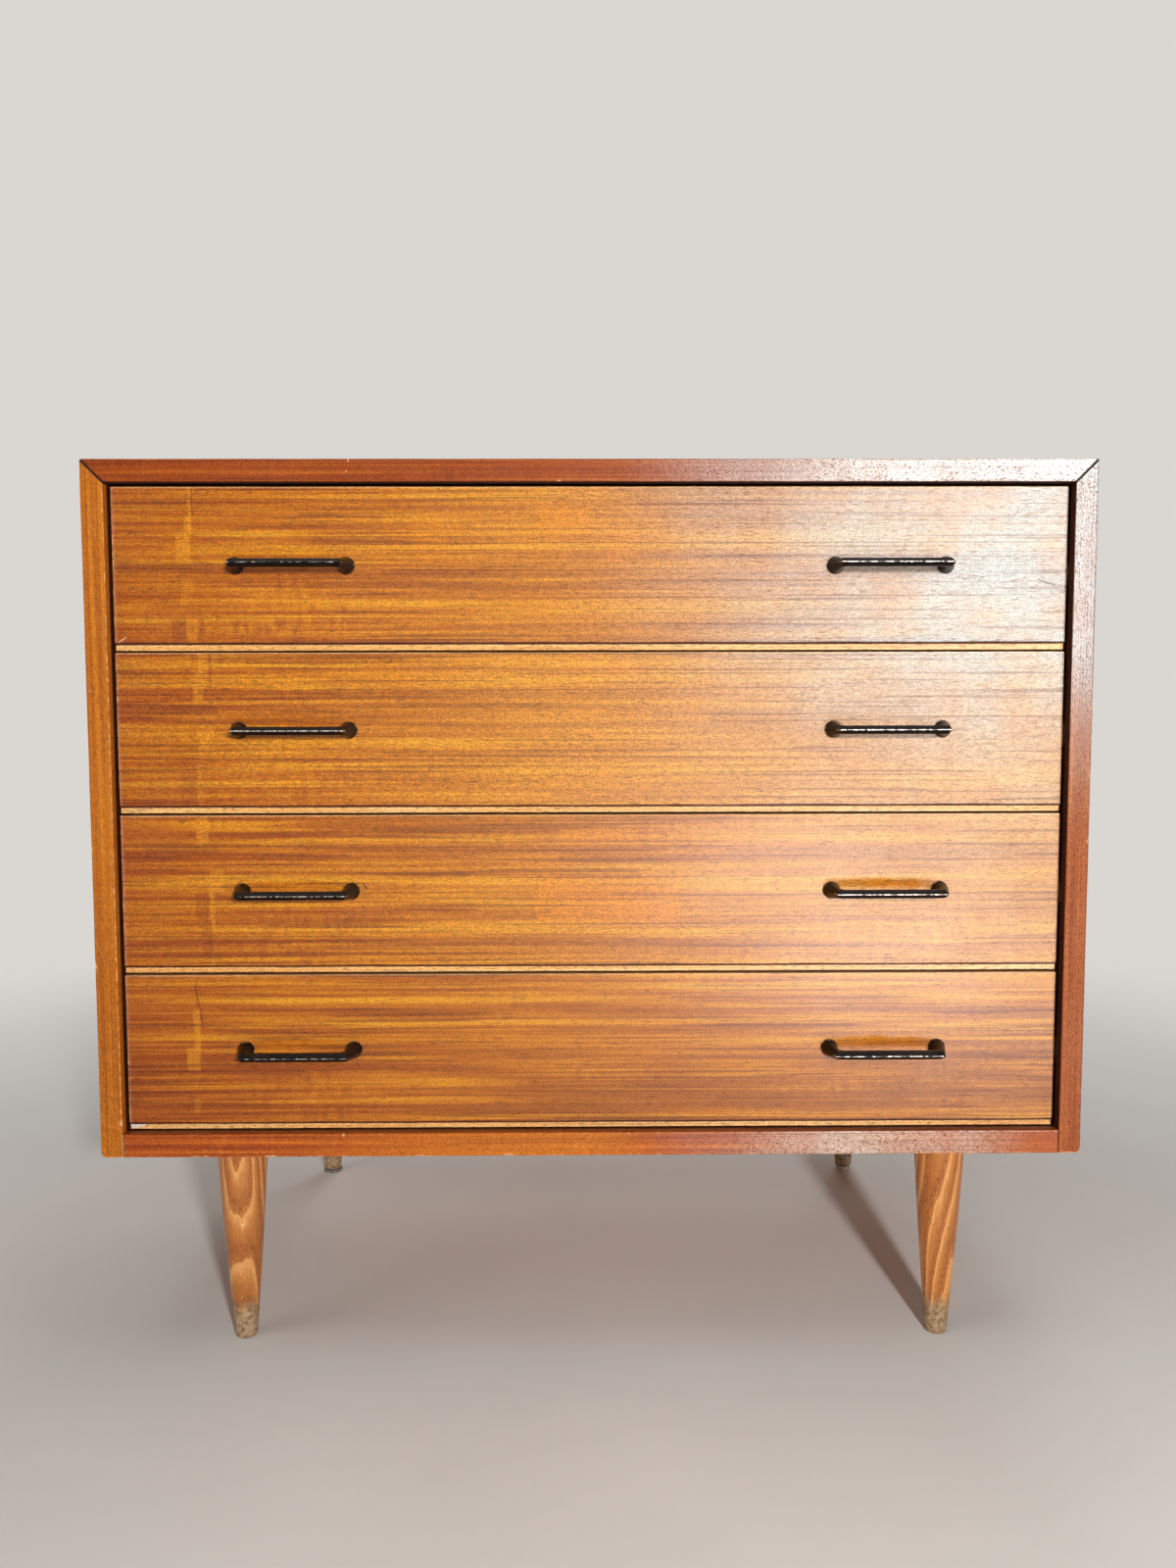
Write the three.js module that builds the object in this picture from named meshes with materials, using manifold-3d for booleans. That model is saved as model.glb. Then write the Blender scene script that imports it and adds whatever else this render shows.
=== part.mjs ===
// Chest of four drawers on four turned legs.
// A veneered board case has solid wood lippings on its front edges and a plywood back in a rebate.
// Each drawer hangs on two wooden runners and is pulled by two bow handles.
// Millimetres, +Z up. X runs from left to right, the front faces -Y, and the feet stand on Z = 0.
// The origin is on the floor, below the middle of the whole chest with its handles.

import * as THREE from 'three';
import { mergeVertices } from 'three/addons/utils/BufferGeometryUtils.js';
import Module from 'manifold-3d';

const wasm = await Module();
wasm.setup();

// Case
const CASE_WIDTH = 800;
const CASE_HEIGHT = 560;
const CASE_DEPTH = 440;
const BOARD_THICKNESS = 17.5;
const BOTTOM_THICKNESS = 19;
const LIPPING_DEPTH = 8;

// Joint lines
const GLUE_LINE = 0.2;
const MITRE_GAP = 0.3;

// Back panel, nailed into a rebate at the rear of the four boards
const BACK_PANEL_THICKNESS = 4;
const BACK_PANEL_INSET = 1;
const BACK_PANEL_CLEARANCE = 0.5;
const REBATE_WIDTH = 9;

// Legs, screwed into plates under the bottom board
const LEG_HEIGHT = 175;
const LEG_TOP_DIAMETER = 43;
const LEG_FOOT_DIAMETER = 18;
const LEG_SWELL = 0.5;
const LEG_TIP_ROUNDING = 3;
const LEG_TOP_CHAMFER = 1;
const LEG_INSET_X = 101.5;
const LEG_INSET_Y = 45;
const STUD_DIAMETER = 8;
const STUD_LENGTH = 10;
const STUD_CLEARANCE = 0.4;

// Pads under the two back legs
const FELT_PAD_DIAMETER = 21;
const WORN_PAD_DIAMETER = 17;
const PAD_THICKNESS = 3;

// Leg plates
const PLATE_SIDE = 50;
const PLATE_THICKNESS = 2.5;
const PLATE_CORNER_RADIUS = 6;
const PLATE_HOLE_DIAMETER = 5;
const PLATE_HOLE_INSET = 9;
const BOSS_DIAMETER = 13;
const BOSS_HEIGHT = 9;
const BOSS_POCKET_CLEARANCE = 0.5;

// Drawer fronts
const DRAWER_COUNT = 4;
const FACE_THICKNESS = 3;
const FACE_RECESS = 8;
const FRONT_THICKNESS = 15;
const FRONT_SIDE_GAP = 2.7;
const FRONT_TOP_GAP = 2.5;
const FRONT_BOTTOM_GAP = 1;
const ROW_GAP = 1.6;
const STRIP_HEIGHT = 4.8;

// Drawer boxes
const BOX_SIDE_GAP = 3.5;
const BOX_SIDE_THICKNESS = 12;
const BOX_BACK_THICKNESS = 10;
const BOX_LIFT = 4;
const BOX_DROP = 12;
const BOX_BACK_DROP = 6;
const BOX_REAR_GAP = 14;
const SIDE_LAP = 8;
const BASE_THICKNESS = 4;
const BASE_GROOVE_DEPTH = 5;
const BASE_GROOVE_LIFT = 8;
const BASE_CLEARANCE = 0.3;

// Runners, screwed to the side boards, and the grooves in the drawer sides that hang on them
const RUNNER_HEIGHT = 16;
const RUNNER_LIFT = 50;
const RUNNER_REAR_GAP = 10;
const RUNNER_STOP_GAP = 0.5;
const RUNNER_HOLE_DIAMETER = 4;
const RUNNER_HOLE_COUNT = 3;
const RUNNER_HOLE_INSET = 40;
const RUNNER_GROOVE_DEPTH = 7;
const GROOVE_ROOF_CLEARANCE = 0.3;
const GROOVE_SOLE_CLEARANCE = 1;
const GROOVE_WALL_CLEARANCE = 0.7;

// Handles
const HANDLE_SPACING = 88;
const HANDLE_END_INSET = 141.3;
const HANDLE_PROJECTION = 26;
const BAR_HEIGHT = 6.6;
const BAR_DEPTH = 8;
const BAR_FACET_DEPTH = 3;
const BAR_BACK_CHAMFER = 1.2;
const FOOT_DIAMETER = 14;
const FOOT_RIM = 2;
const FOOT_NECK_DIAMETER = 9;
const HANDLE_THREAD_DIAMETER = 4;
const HANDLE_THREAD_DEPTH = 12;
const HANDLE_SCREW_CLEARANCE = 0.3;

// One overrun takes every cutting block past the face that it opens.
const OVERRUN = 5;

// Steps in a full turn
const LEG_STEPS = 20;
const ROUND_STEPS = 16;
const HOLE_STEPS = 8;

// Case, worked out
const CASE_BOTTOM = LEG_HEIGHT;
const CASE_TOP = CASE_BOTTOM + CASE_HEIGHT;
const CASE_HALF = CASE_WIDTH / 2;
const OPENING_HALF = CASE_HALF - BOARD_THICKNESS;
const OPENING_BOTTOM = CASE_BOTTOM + BOTTOM_THICKNESS;
const OPENING_TOP = CASE_TOP - BOARD_THICKNESS;
const BOARD_FRONT = LIPPING_DEPTH + GLUE_LINE;
const BACK_PANEL_REAR = CASE_DEPTH - BACK_PANEL_INSET;
const BACK_PANEL_FRONT = BACK_PANEL_REAR - BACK_PANEL_THICKNESS;
const REBATE_FRONT = BACK_PANEL_FRONT - GLUE_LINE;

// The mitre line moves by this much along X or Z when its boards part by half the gap each.
const MITRE_SHIFT = MITRE_GAP * Math.SQRT1_2;

// Legs, worked out
const PLATE_BOTTOM = CASE_BOTTOM - GLUE_LINE - PLATE_THICKNESS;
const LEG_TOP = PLATE_BOTTOM - GLUE_LINE;
const BOSS_BORE_DIAMETER = STUD_DIAMETER + 2 * STUD_CLEARANCE;
const LEG_X = CASE_HALF - LEG_INSET_X;
const LEG_Y_FRONT = LEG_INSET_Y;
const LEG_Y_BACK = CASE_DEPTH - LEG_INSET_Y;

// Drawer fronts, worked out in the drawer's own frame: Y = 0 on the face, Z = 0 on the front's lower edge
const OPENING_HEIGHT = OPENING_TOP - OPENING_BOTTOM;
const ROW_GAPS = ROW_GAP * (DRAWER_COUNT - 1);
const FRONT_HEIGHT = (OPENING_HEIGHT - FRONT_TOP_GAP - FRONT_BOTTOM_GAP - ROW_GAPS) / DRAWER_COUNT;
const ROW_PITCH = FRONT_HEIGHT + ROW_GAP;
const FRONT_HALF = OPENING_HALF - FRONT_SIDE_GAP;
const FRONT_NEAR = FACE_THICKNESS + GLUE_LINE;
const FRONT_FAR = FRONT_NEAR + FRONT_THICKNESS;

// Drawer boxes, worked out in the drawer's own frame
const BOX_HALF = OPENING_HALF - BOX_SIDE_GAP;
const BOX_INNER_HALF = BOX_HALF - BOX_SIDE_THICKNESS;
const BOX_NEAR = FRONT_FAR - SIDE_LAP;
const BOX_FAR = BACK_PANEL_FRONT - BOX_REAR_GAP - FACE_RECESS;
const BOX_TOP = FRONT_HEIGHT - BOX_DROP;
const BASE_GROOVE_BOTTOM = BOX_LIFT + BASE_GROOVE_LIFT;
const BASE_BOTTOM = BASE_GROOVE_BOTTOM + BASE_CLEARANCE;
const BASE_TOP = BASE_BOTTOM + BASE_THICKNESS;
const BASE_GROOVE_TOP = BASE_TOP + BASE_CLEARANCE;

// Runners, worked out in the drawer's own frame
const RUNNER_BOTTOM = BOX_LIFT + RUNNER_LIFT;
const RUNNER_TOP = RUNNER_BOTTOM + RUNNER_HEIGHT;
const GROOVE_BOTTOM = RUNNER_BOTTOM - GROOVE_SOLE_CLEARANCE;
const GROOVE_TOP = RUNNER_TOP + GROOVE_ROOF_CLEARANCE;
const GROOVE_WALL = BOX_HALF - RUNNER_GROOVE_DEPTH;
const RUNNER_NEAR = BOX_NEAR + RUNNER_STOP_GAP;
const RUNNER_FAR = BACK_PANEL_FRONT - RUNNER_REAR_GAP - FACE_RECESS;
const RUNNER_INNER = GROOVE_WALL + GROOVE_WALL_CLEARANCE;
const RUNNER_OUTER = OPENING_HALF - GLUE_LINE;

// Handles, worked out
const HANDLE_Z = (FRONT_HEIGHT + STRIP_HEIGHT) / 2;
const HANDLE_X = FRONT_HALF - HANDLE_END_INSET;
const HANDLE_HALF = HANDLE_SPACING / 2;
const HANDLE_SCREW_HOLE = HANDLE_THREAD_DIAMETER + 2 * HANDLE_SCREW_CLEARANCE;

// Finishes
const veneer = finish(0xb9702c, 0.38);
const lipping = finish(0xb06a2c, 0.4);
const paleWood = finish(0xd9ab74, 0.6);
const boxWood = finish(0xcfa878, 0.7);
const plywood = finish(0xc9a577, 0.75);
const legWood = finish(0xb5713a, 0.45);
const darkLacquer = finish(0x2a1812, 0.3, 0.6);
const steel = finish(0x9a9a98, 0.4, 0.9);
const felt = finish(0x77726a, 0.95);
const palePad = finish(0xc9c1b2, 0.8);

function finish(color, roughness, metalness = 0) {
  return new THREE.MeshStandardMaterial({ color, roughness, metalness });
}

// A named piece whose own origin is the middle of its bounding box.
function piece(name, geometry, material) {
  geometry.computeBoundingBox();
  const centre = geometry.boundingBox.getCenter(new THREE.Vector3());
  geometry.translate(-centre.x, -centre.y, -centre.z);
  const mesh = new THREE.Mesh(geometry, material);
  mesh.name = name;
  mesh.position.copy(centre);
  return mesh;
}

// A closed geometry as a solid that can be joined and cut.
function toSolid(geometry) {
  geometry.deleteAttribute('normal');
  geometry.deleteAttribute('uv');
  const merged = mergeVertices(geometry);
  return new wasm.Manifold(new wasm.Mesh({
    numProp: 3,
    vertProperties: new Float32Array(merged.attributes.position.array),
    triVerts: new Uint32Array(merged.index.array),
  }));
}

// A solid as a flat-shaded geometry.
function toGeometry(solid) {
  const { vertProperties, triVerts } = solid.getMesh();
  const indexed = new THREE.BufferGeometry();
  indexed.setAttribute('position', new THREE.BufferAttribute(vertProperties, 3));
  indexed.setIndex(new THREE.BufferAttribute(triVerts, 1));
  const geometry = indexed.toNonIndexed();
  geometry.computeVertexNormals();
  return geometry;
}

// The first geometry with each of the others cut out of it.
function cut(geometry, cutters) {
  let solid = toSolid(geometry);
  for (const cutter of cutters) solid = solid.subtract(toSolid(cutter));
  return toGeometry(solid);
}

// A block between two values along each axis.
function block([x0, x1], [y0, y1], [z0, z1]) {
  const geometry = new THREE.BoxGeometry(x1 - x0, y1 - y0, z1 - z0);
  return geometry.translate((x0 + x1) / 2, (y0 + y1) / 2, (z0 + z1) / 2);
}

// The values near and far from the middle, in rising order, on the left (-1) or right (1) side.
function span(side, near, far) {
  return side < 0 ? [-far, -near] : [near, far];
}

function polygon(points) {
  return new THREE.Shape(points.map(([x, y]) => new THREE.Vector2(x, y)));
}

// A front-view outline of X and Z values, carried along Y.
function extrudeAlongY(shape, [y0, y1]) {
  const geometry = new THREE.ExtrudeGeometry(shape, { depth: y1 - y0, bevelEnabled: false });
  return geometry.rotateX(Math.PI / 2).translate(0, y1, 0);
}

// A round bar between two values along one axis, through a point of the other two.
function barAlongZ(diameter, steps, x, y, [z0, z1]) {
  const geometry = new THREE.CylinderGeometry(diameter / 2, diameter / 2, z1 - z0, steps);
  return geometry.rotateX(Math.PI / 2).translate(x, y, (z0 + z1) / 2);
}

function barAlongY(diameter, steps, x, z, [y0, y1]) {
  const geometry = new THREE.CylinderGeometry(diameter / 2, diameter / 2, y1 - y0, steps);
  return geometry.translate(x, (y0 + y1) / 2, z);
}

function barAlongX(diameter, steps, y, z, [x0, x1]) {
  const geometry = new THREE.CylinderGeometry(diameter / 2, diameter / 2, x1 - x0, steps);
  return geometry.rotateZ(Math.PI / 2).translate((x0 + x1) / 2, y, z);
}

// The space that the back panel's rebate takes out of all four boards.
function rebateSpace() {
  return block(
    [-OPENING_HALF - REBATE_WIDTH, OPENING_HALF + REBATE_WIDTH],
    [REBATE_FRONT, CASE_DEPTH + OVERRUN],
    [OPENING_BOTTOM - REBATE_WIDTH, OPENING_TOP + REBATE_WIDTH],
  );
}

// Front view of the top board or its lipping, mitred at both ends.
function topOutline() {
  const long = CASE_HALF - MITRE_SHIFT;
  const short = OPENING_HALF - MITRE_SHIFT;
  return polygon([[-short, OPENING_TOP], [short, OPENING_TOP], [long, CASE_TOP], [-long, CASE_TOP]]);
}

// Front view of a side board or its lipping, mitred at the top and square at the bottom.
function sideOutline(side) {
  return polygon([
    [side * OPENING_HALF, CASE_BOTTOM],
    [side * CASE_HALF, CASE_BOTTOM],
    [side * CASE_HALF, CASE_TOP - MITRE_SHIFT],
    [side * OPENING_HALF, OPENING_TOP - MITRE_SHIFT],
  ]);
}

// The pocket in the bottom board that takes one leg plate's boss.
function bossPocket(x, y) {
  const diameter = BOSS_DIAMETER + 2 * BOSS_POCKET_CLEARANCE;
  const depth = BOSS_HEIGHT + BOSS_POCKET_CLEARANCE;
  return barAlongZ(diameter, ROUND_STEPS, x, y, [CASE_BOTTOM - OVERRUN, CASE_BOTTOM + depth]);
}

function makeCase() {
  const group = new THREE.Group();
  const boardDepth = [BOARD_FRONT, CASE_DEPTH];
  const lippingDepth = [0, LIPPING_DEPTH];
  const betweenSides = [-OPENING_HALF + GLUE_LINE, OPENING_HALF - GLUE_LINE];
  const bottomHeight = [CASE_BOTTOM, OPENING_BOTTOM];

  const top = cut(extrudeAlongY(topOutline(), boardDepth), [rebateSpace()]);
  group.add(piece('top_panel', top, veneer));
  group.add(piece('top_lipping', extrudeAlongY(topOutline(), lippingDepth), lipping));
  for (const [side, word] of [[-1, 'left'], [1, 'right']]) {
    const board = cut(extrudeAlongY(sideOutline(side), boardDepth), [rebateSpace()]);
    group.add(piece(`side_panel_${word}`, board, veneer));
    group.add(piece(`${word}_lipping`, extrudeAlongY(sideOutline(side), lippingDepth), lipping));
  }

  const pockets = legPlaces().map(({ x, y }) => bossPocket(x, y));
  const bottom = cut(block(betweenSides, boardDepth, bottomHeight), [rebateSpace(), ...pockets]);
  group.add(piece('bottom_panel', bottom, veneer));
  group.add(piece('bottom_rail', block(betweenSides, lippingDepth, bottomHeight), lipping));

  const reach = REBATE_WIDTH - BACK_PANEL_CLEARANCE;
  const back = block(
    [-OPENING_HALF - reach, OPENING_HALF + reach],
    [BACK_PANEL_FRONT, BACK_PANEL_REAR],
    [OPENING_BOTTOM - reach, OPENING_TOP + reach],
  );
  group.add(piece('back_panel', back, plywood));
  return group;
}

function legPlaces() {
  return [
    { word: 'front_left', x: -LEG_X, y: LEG_Y_FRONT },
    { word: 'front_right', x: LEG_X, y: LEG_Y_FRONT },
    { word: 'back_left', x: -LEG_X, y: LEG_Y_BACK, pad: { diameter: FELT_PAD_DIAMETER, material: felt } },
    { word: 'back_right', x: LEG_X, y: LEG_Y_BACK, pad: { diameter: WORN_PAD_DIAMETER, material: palePad } },
  ];
}

// A turned leg about the Z axis: a rounded tip, a taper that bows out a little, and the stud on top.
// Its diameter grows along a straight line from foot to top, plus a parabola that is nought at both ends.
function legGeometry(sole) {
  const taperShares = [0.25, 0.5, 0.75];
  const height = LEG_TOP - sole;
  const radiusAt = (share) =>
    (LEG_FOOT_DIAMETER + (LEG_TOP_DIAMETER - LEG_FOOT_DIAMETER) * share) / 2 +
    LEG_SWELL * 4 * share * (1 - share);
  const tip = radiusAt(LEG_TIP_ROUNDING / height);
  const tipArc = [0, 1, 2, 3].map((step) => {
    const turn = (step / 3) * (Math.PI / 2);
    return [tip - LEG_TIP_ROUNDING * (1 - Math.sin(turn)), sole + LEG_TIP_ROUNDING * (1 - Math.cos(turn))];
  });
  const profile = [
    [0, sole],
    ...tipArc,
    ...taperShares.map((share) => [radiusAt(share), sole + height * share]),
    [radiusAt(1), LEG_TOP - LEG_TOP_CHAMFER],
    [radiusAt(1) - LEG_TOP_CHAMFER, LEG_TOP],
    [STUD_DIAMETER / 2, LEG_TOP],
    [STUD_DIAMETER / 2, LEG_TOP + STUD_LENGTH],
    [0, LEG_TOP + STUD_LENGTH],
  ];
  const points = profile.map(([radius, z]) => new THREE.Vector2(radius, z));
  return new THREE.LatheGeometry(points, LEG_STEPS).rotateX(Math.PI / 2);
}

// A square steel plate with rounded corners, four screw holes and a boss for the leg's stud.
function legPlateGeometry() {
  const half = PLATE_SIDE / 2;
  const flat = half - PLATE_CORNER_RADIUS;
  const shape = new THREE.Shape();
  shape.absarc(flat, -flat, PLATE_CORNER_RADIUS, -Math.PI / 2, 0);
  shape.absarc(flat, flat, PLATE_CORNER_RADIUS, 0, Math.PI / 2);
  shape.absarc(-flat, flat, PLATE_CORNER_RADIUS, Math.PI / 2, Math.PI);
  shape.absarc(-flat, -flat, PLATE_CORNER_RADIUS, Math.PI, Math.PI * 1.5);
  const settings = { depth: PLATE_THICKNESS, bevelEnabled: false, curveSegments: HOLE_STEPS / 4 };
  const sheet = new THREE.ExtrudeGeometry(shape, settings);

  const all = [-OVERRUN, PLATE_THICKNESS + BOSS_HEIGHT + OVERRUN];
  const holePlace = half - PLATE_HOLE_INSET;
  const boss = barAlongZ(BOSS_DIAMETER, ROUND_STEPS, 0, 0, [0, PLATE_THICKNESS + BOSS_HEIGHT]);
  let solid = toSolid(sheet).add(toSolid(boss));
  solid = solid.subtract(toSolid(barAlongZ(BOSS_BORE_DIAMETER, ROUND_STEPS, 0, 0, all)));
  for (const x of [-holePlace, holePlace]) {
    for (const y of [-holePlace, holePlace]) {
      solid = solid.subtract(toSolid(barAlongZ(PLATE_HOLE_DIAMETER, HOLE_STEPS, x, y, all)));
    }
  }
  return toGeometry(solid);
}

function makeLegs() {
  const group = new THREE.Group();
  for (const { word, x, y, pad } of legPlaces()) {
    const place = new THREE.Group();
    place.position.set(x, y, 0);
    const sole = pad ? PAD_THICKNESS + GLUE_LINE : 0;
    place.add(piece(`leg_${word}`, legGeometry(sole), legWood));
    const plate = legPlateGeometry().translate(0, 0, PLATE_BOTTOM);
    place.add(piece(`leg_plate_${word}`, plate, steel));
    if (pad) {
      const disc = barAlongZ(pad.diameter, ROUND_STEPS, 0, 0, [0, PAD_THICKNESS]);
      place.add(piece(`pad_${word}`, disc, pad.material));
    }
    group.add(place);
  }
  return group;
}

// The places of one drawer's four handle screws.
function handleScrewPlaces() {
  const places = [];
  for (const handle of [-HANDLE_X, HANDLE_X]) {
    places.push(handle - HANDLE_HALF, handle + HANDLE_HALF);
  }
  return places;
}

function handleScrewHoles() {
  const through = [-OVERRUN, FRONT_FAR + OVERRUN];
  return handleScrewPlaces().map((x) => barAlongY(HANDLE_SCREW_HOLE, HOLE_STEPS, x, HANDLE_Z, through));
}

// The space that the drawer bottom's groove takes out of the front and both sides.
function baseGroove() {
  const reach = BOX_INNER_HALF + BASE_GROOVE_DEPTH;
  return block(
    [-reach, reach],
    [FRONT_FAR - BASE_GROOVE_DEPTH, BOX_FAR + OVERRUN],
    [BASE_GROOVE_BOTTOM, BASE_GROOVE_TOP],
  );
}

// The front board, let in at both ends for the sides and grooved for the bottom.
function frontGeometry() {
  const board = block([-FRONT_HALF, FRONT_HALF], [FRONT_NEAR, FRONT_FAR], [0, FRONT_HEIGHT]);
  const laps = [-1, 1].map((side) => block(
    span(side, BOX_INNER_HALF - GLUE_LINE, FRONT_HALF + OVERRUN),
    [BOX_NEAR - GLUE_LINE, FRONT_FAR + OVERRUN],
    [BOX_LIFT - GLUE_LINE, BOX_TOP + GLUE_LINE],
  ));
  return cut(board, [...laps, baseGroove(), ...handleScrewHoles()]);
}

// A drawer side with the groove that hangs on the runner outside and the bottom's groove inside.
function drawerSideGeometry(side) {
  const board = block(span(side, BOX_INNER_HALF, BOX_HALF), [BOX_NEAR, BOX_FAR], [BOX_LIFT, BOX_TOP]);
  const runnerGroove = block(
    span(side, GROOVE_WALL, BOX_HALF + OVERRUN),
    [BOX_NEAR - OVERRUN, BOX_FAR + OVERRUN],
    [GROOVE_BOTTOM, GROOVE_TOP],
  );
  return cut(board, [runnerGroove, baseGroove()]);
}

// A handle with Y = 0 on the drawer face and Z = 0 at the bar's mid height.
// Two round feet and a bar with a front ridge are joined, then trimmed by slanting end planes.
function handleGeometry() {
  const front = -HANDLE_PROJECTION;
  const seat = -GLUE_LINE;
  const outer = HANDLE_HALF + FOOT_DIAMETER / 2;
  const half = BAR_HEIGHT / 2;
  const barBack = front + BAR_DEPTH;

  // Section of Z and Y values, carried along X
  const section = polygon([
    [0, front],
    [half, front + BAR_FACET_DEPTH],
    [half, barBack - BAR_BACK_CHAMFER],
    [half - BAR_BACK_CHAMFER, barBack],
    [-half + BAR_BACK_CHAMFER, barBack],
    [-half, barBack - BAR_BACK_CHAMFER],
    [-half, front + BAR_FACET_DEPTH],
  ]);
  const bar = new THREE.ExtrudeGeometry(section, { depth: 2 * outer, bevelEnabled: false });
  bar.rotateY(-Math.PI / 2).translate(outer, 0, 0);

  // Plan view of the whole handle, carried along Z, with the slanting ends
  const plan = polygon([
    [-outer, seat],
    [-outer, seat - FOOT_RIM],
    [-HANDLE_HALF, front],
    [HANDLE_HALF, front],
    [outer, seat - FOOT_RIM],
    [outer, seat],
  ]);
  const envelope = new THREE.ExtrudeGeometry(plan, { depth: FOOT_DIAMETER, bevelEnabled: false });
  envelope.translate(0, 0, -FOOT_DIAMETER / 2);

  const footPoints = [
    [0, seat],
    [FOOT_DIAMETER / 2, seat],
    [FOOT_DIAMETER / 2, seat - FOOT_RIM],
    [FOOT_NECK_DIAMETER / 2, barBack],
    [half, barBack - BAR_BACK_CHAMFER],
    [0, barBack - BAR_BACK_CHAMFER],
  ].map(([radius, y]) => new THREE.Vector2(radius, y)).reverse();

  let solid = toSolid(bar);
  for (const x of [-HANDLE_HALF, HANDLE_HALF]) {
    const foot = new THREE.LatheGeometry(footPoints, ROUND_STEPS).translate(x, 0, 0);
    solid = solid.add(toSolid(foot));
  }
  solid = solid.intersect(toSolid(envelope));
  for (const x of [-HANDLE_HALF, HANDLE_HALF]) {
    const thread = [seat - HANDLE_THREAD_DEPTH, seat + OVERRUN];
    solid = solid.subtract(toSolid(barAlongY(HANDLE_THREAD_DIAMETER, HOLE_STEPS, x, 0, thread)));
  }
  return toGeometry(solid);
}

// Height of a drawer's frame above the floor; drawer 1 is the top one.
function drawerBottom(number) {
  return OPENING_BOTTOM + FRONT_BOTTOM_GAP + ROW_PITCH * (DRAWER_COUNT - number);
}

function makeDrawer(number) {
  const group = new THREE.Group();
  group.position.set(0, FACE_RECESS, drawerBottom(number));
  const name = (word) => `drawer_${number}_${word}`;

  const faceBlock = block([-FRONT_HALF, FRONT_HALF], [0, FACE_THICKNESS], [STRIP_HEIGHT, FRONT_HEIGHT]);
  group.add(piece(name('face'), cut(faceBlock, handleScrewHoles()), veneer));
  group.add(piece(name('front'), frontGeometry(), paleWood));
  for (const [side, word] of [[-1, 'left'], [1, 'right']]) {
    group.add(piece(name(`side_${word}`), drawerSideGeometry(side), boxWood));
    const handle = handleGeometry().translate(side * HANDLE_X, 0, HANDLE_Z);
    group.add(piece(`handle_${number}_${word}`, handle, darkLacquer));
  }

  const backHalf = BOX_INNER_HALF - GLUE_LINE;
  const back = block(
    [-backHalf, backHalf],
    [BOX_FAR - BOX_BACK_THICKNESS, BOX_FAR],
    [BASE_TOP + GLUE_LINE, BOX_TOP - BOX_BACK_DROP],
  );
  group.add(piece(name('back'), back, boxWood));

  const baseHalf = BOX_INNER_HALF + BASE_GROOVE_DEPTH - BASE_CLEARANCE;
  const base = block(
    [-baseHalf, baseHalf],
    [FRONT_FAR - BASE_GROOVE_DEPTH + BASE_CLEARANCE, BOX_FAR],
    [BASE_BOTTOM, BASE_TOP],
  );
  group.add(piece(name('bottom'), base, plywood));
  return group;
}

// The pair of runners that carries one drawer; their front ends stop the drawer front.
function makeRunners(number) {
  const group = new THREE.Group();
  group.position.set(0, FACE_RECESS, drawerBottom(number));
  const middle = (RUNNER_BOTTOM + RUNNER_TOP) / 2;
  const first = RUNNER_NEAR + RUNNER_HOLE_INSET;
  const step = (RUNNER_FAR - RUNNER_HOLE_INSET - first) / (RUNNER_HOLE_COUNT - 1);
  for (const [side, word] of [[-1, 'left'], [1, 'right']]) {
    const strip = block(
      span(side, RUNNER_INNER, RUNNER_OUTER),
      [RUNNER_NEAR, RUNNER_FAR],
      [RUNNER_BOTTOM, RUNNER_TOP],
    );
    const through = span(side, RUNNER_INNER - OVERRUN, RUNNER_OUTER + OVERRUN);
    const holes = Array.from({ length: RUNNER_HOLE_COUNT }, (_, index) =>
      barAlongX(RUNNER_HOLE_DIAMETER, HOLE_STEPS, first + step * index, middle, through));
    group.add(piece(`runner_${number}_${word}`, cut(strip, holes), boxWood));
  }
  return group;
}

function makeChest() {
  const chest = new THREE.Group();
  const frontmost = FACE_RECESS - HANDLE_PROJECTION;
  chest.position.y = -(frontmost + CASE_DEPTH) / 2;
  chest.add(makeCase(), makeLegs());
  for (let number = 1; number <= DRAWER_COUNT; number += 1) {
    chest.add(makeRunners(number), makeDrawer(number));
  }
  return chest;
}

export default makeChest();
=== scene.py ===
# %% [markdown]
# # A chest of four drawers on turned legs
#
# The real object is a low wooden chest: a case of veneered boards with solid wood lippings, four flush
# drawers with dark bow handles, and four turned, tapered legs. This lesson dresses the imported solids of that
# chest. The solids give every place and size, so the first step loads them as a fixed frame and notes the box
# that they fill.

# %% Load the frame
from math import pi, radians

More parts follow.
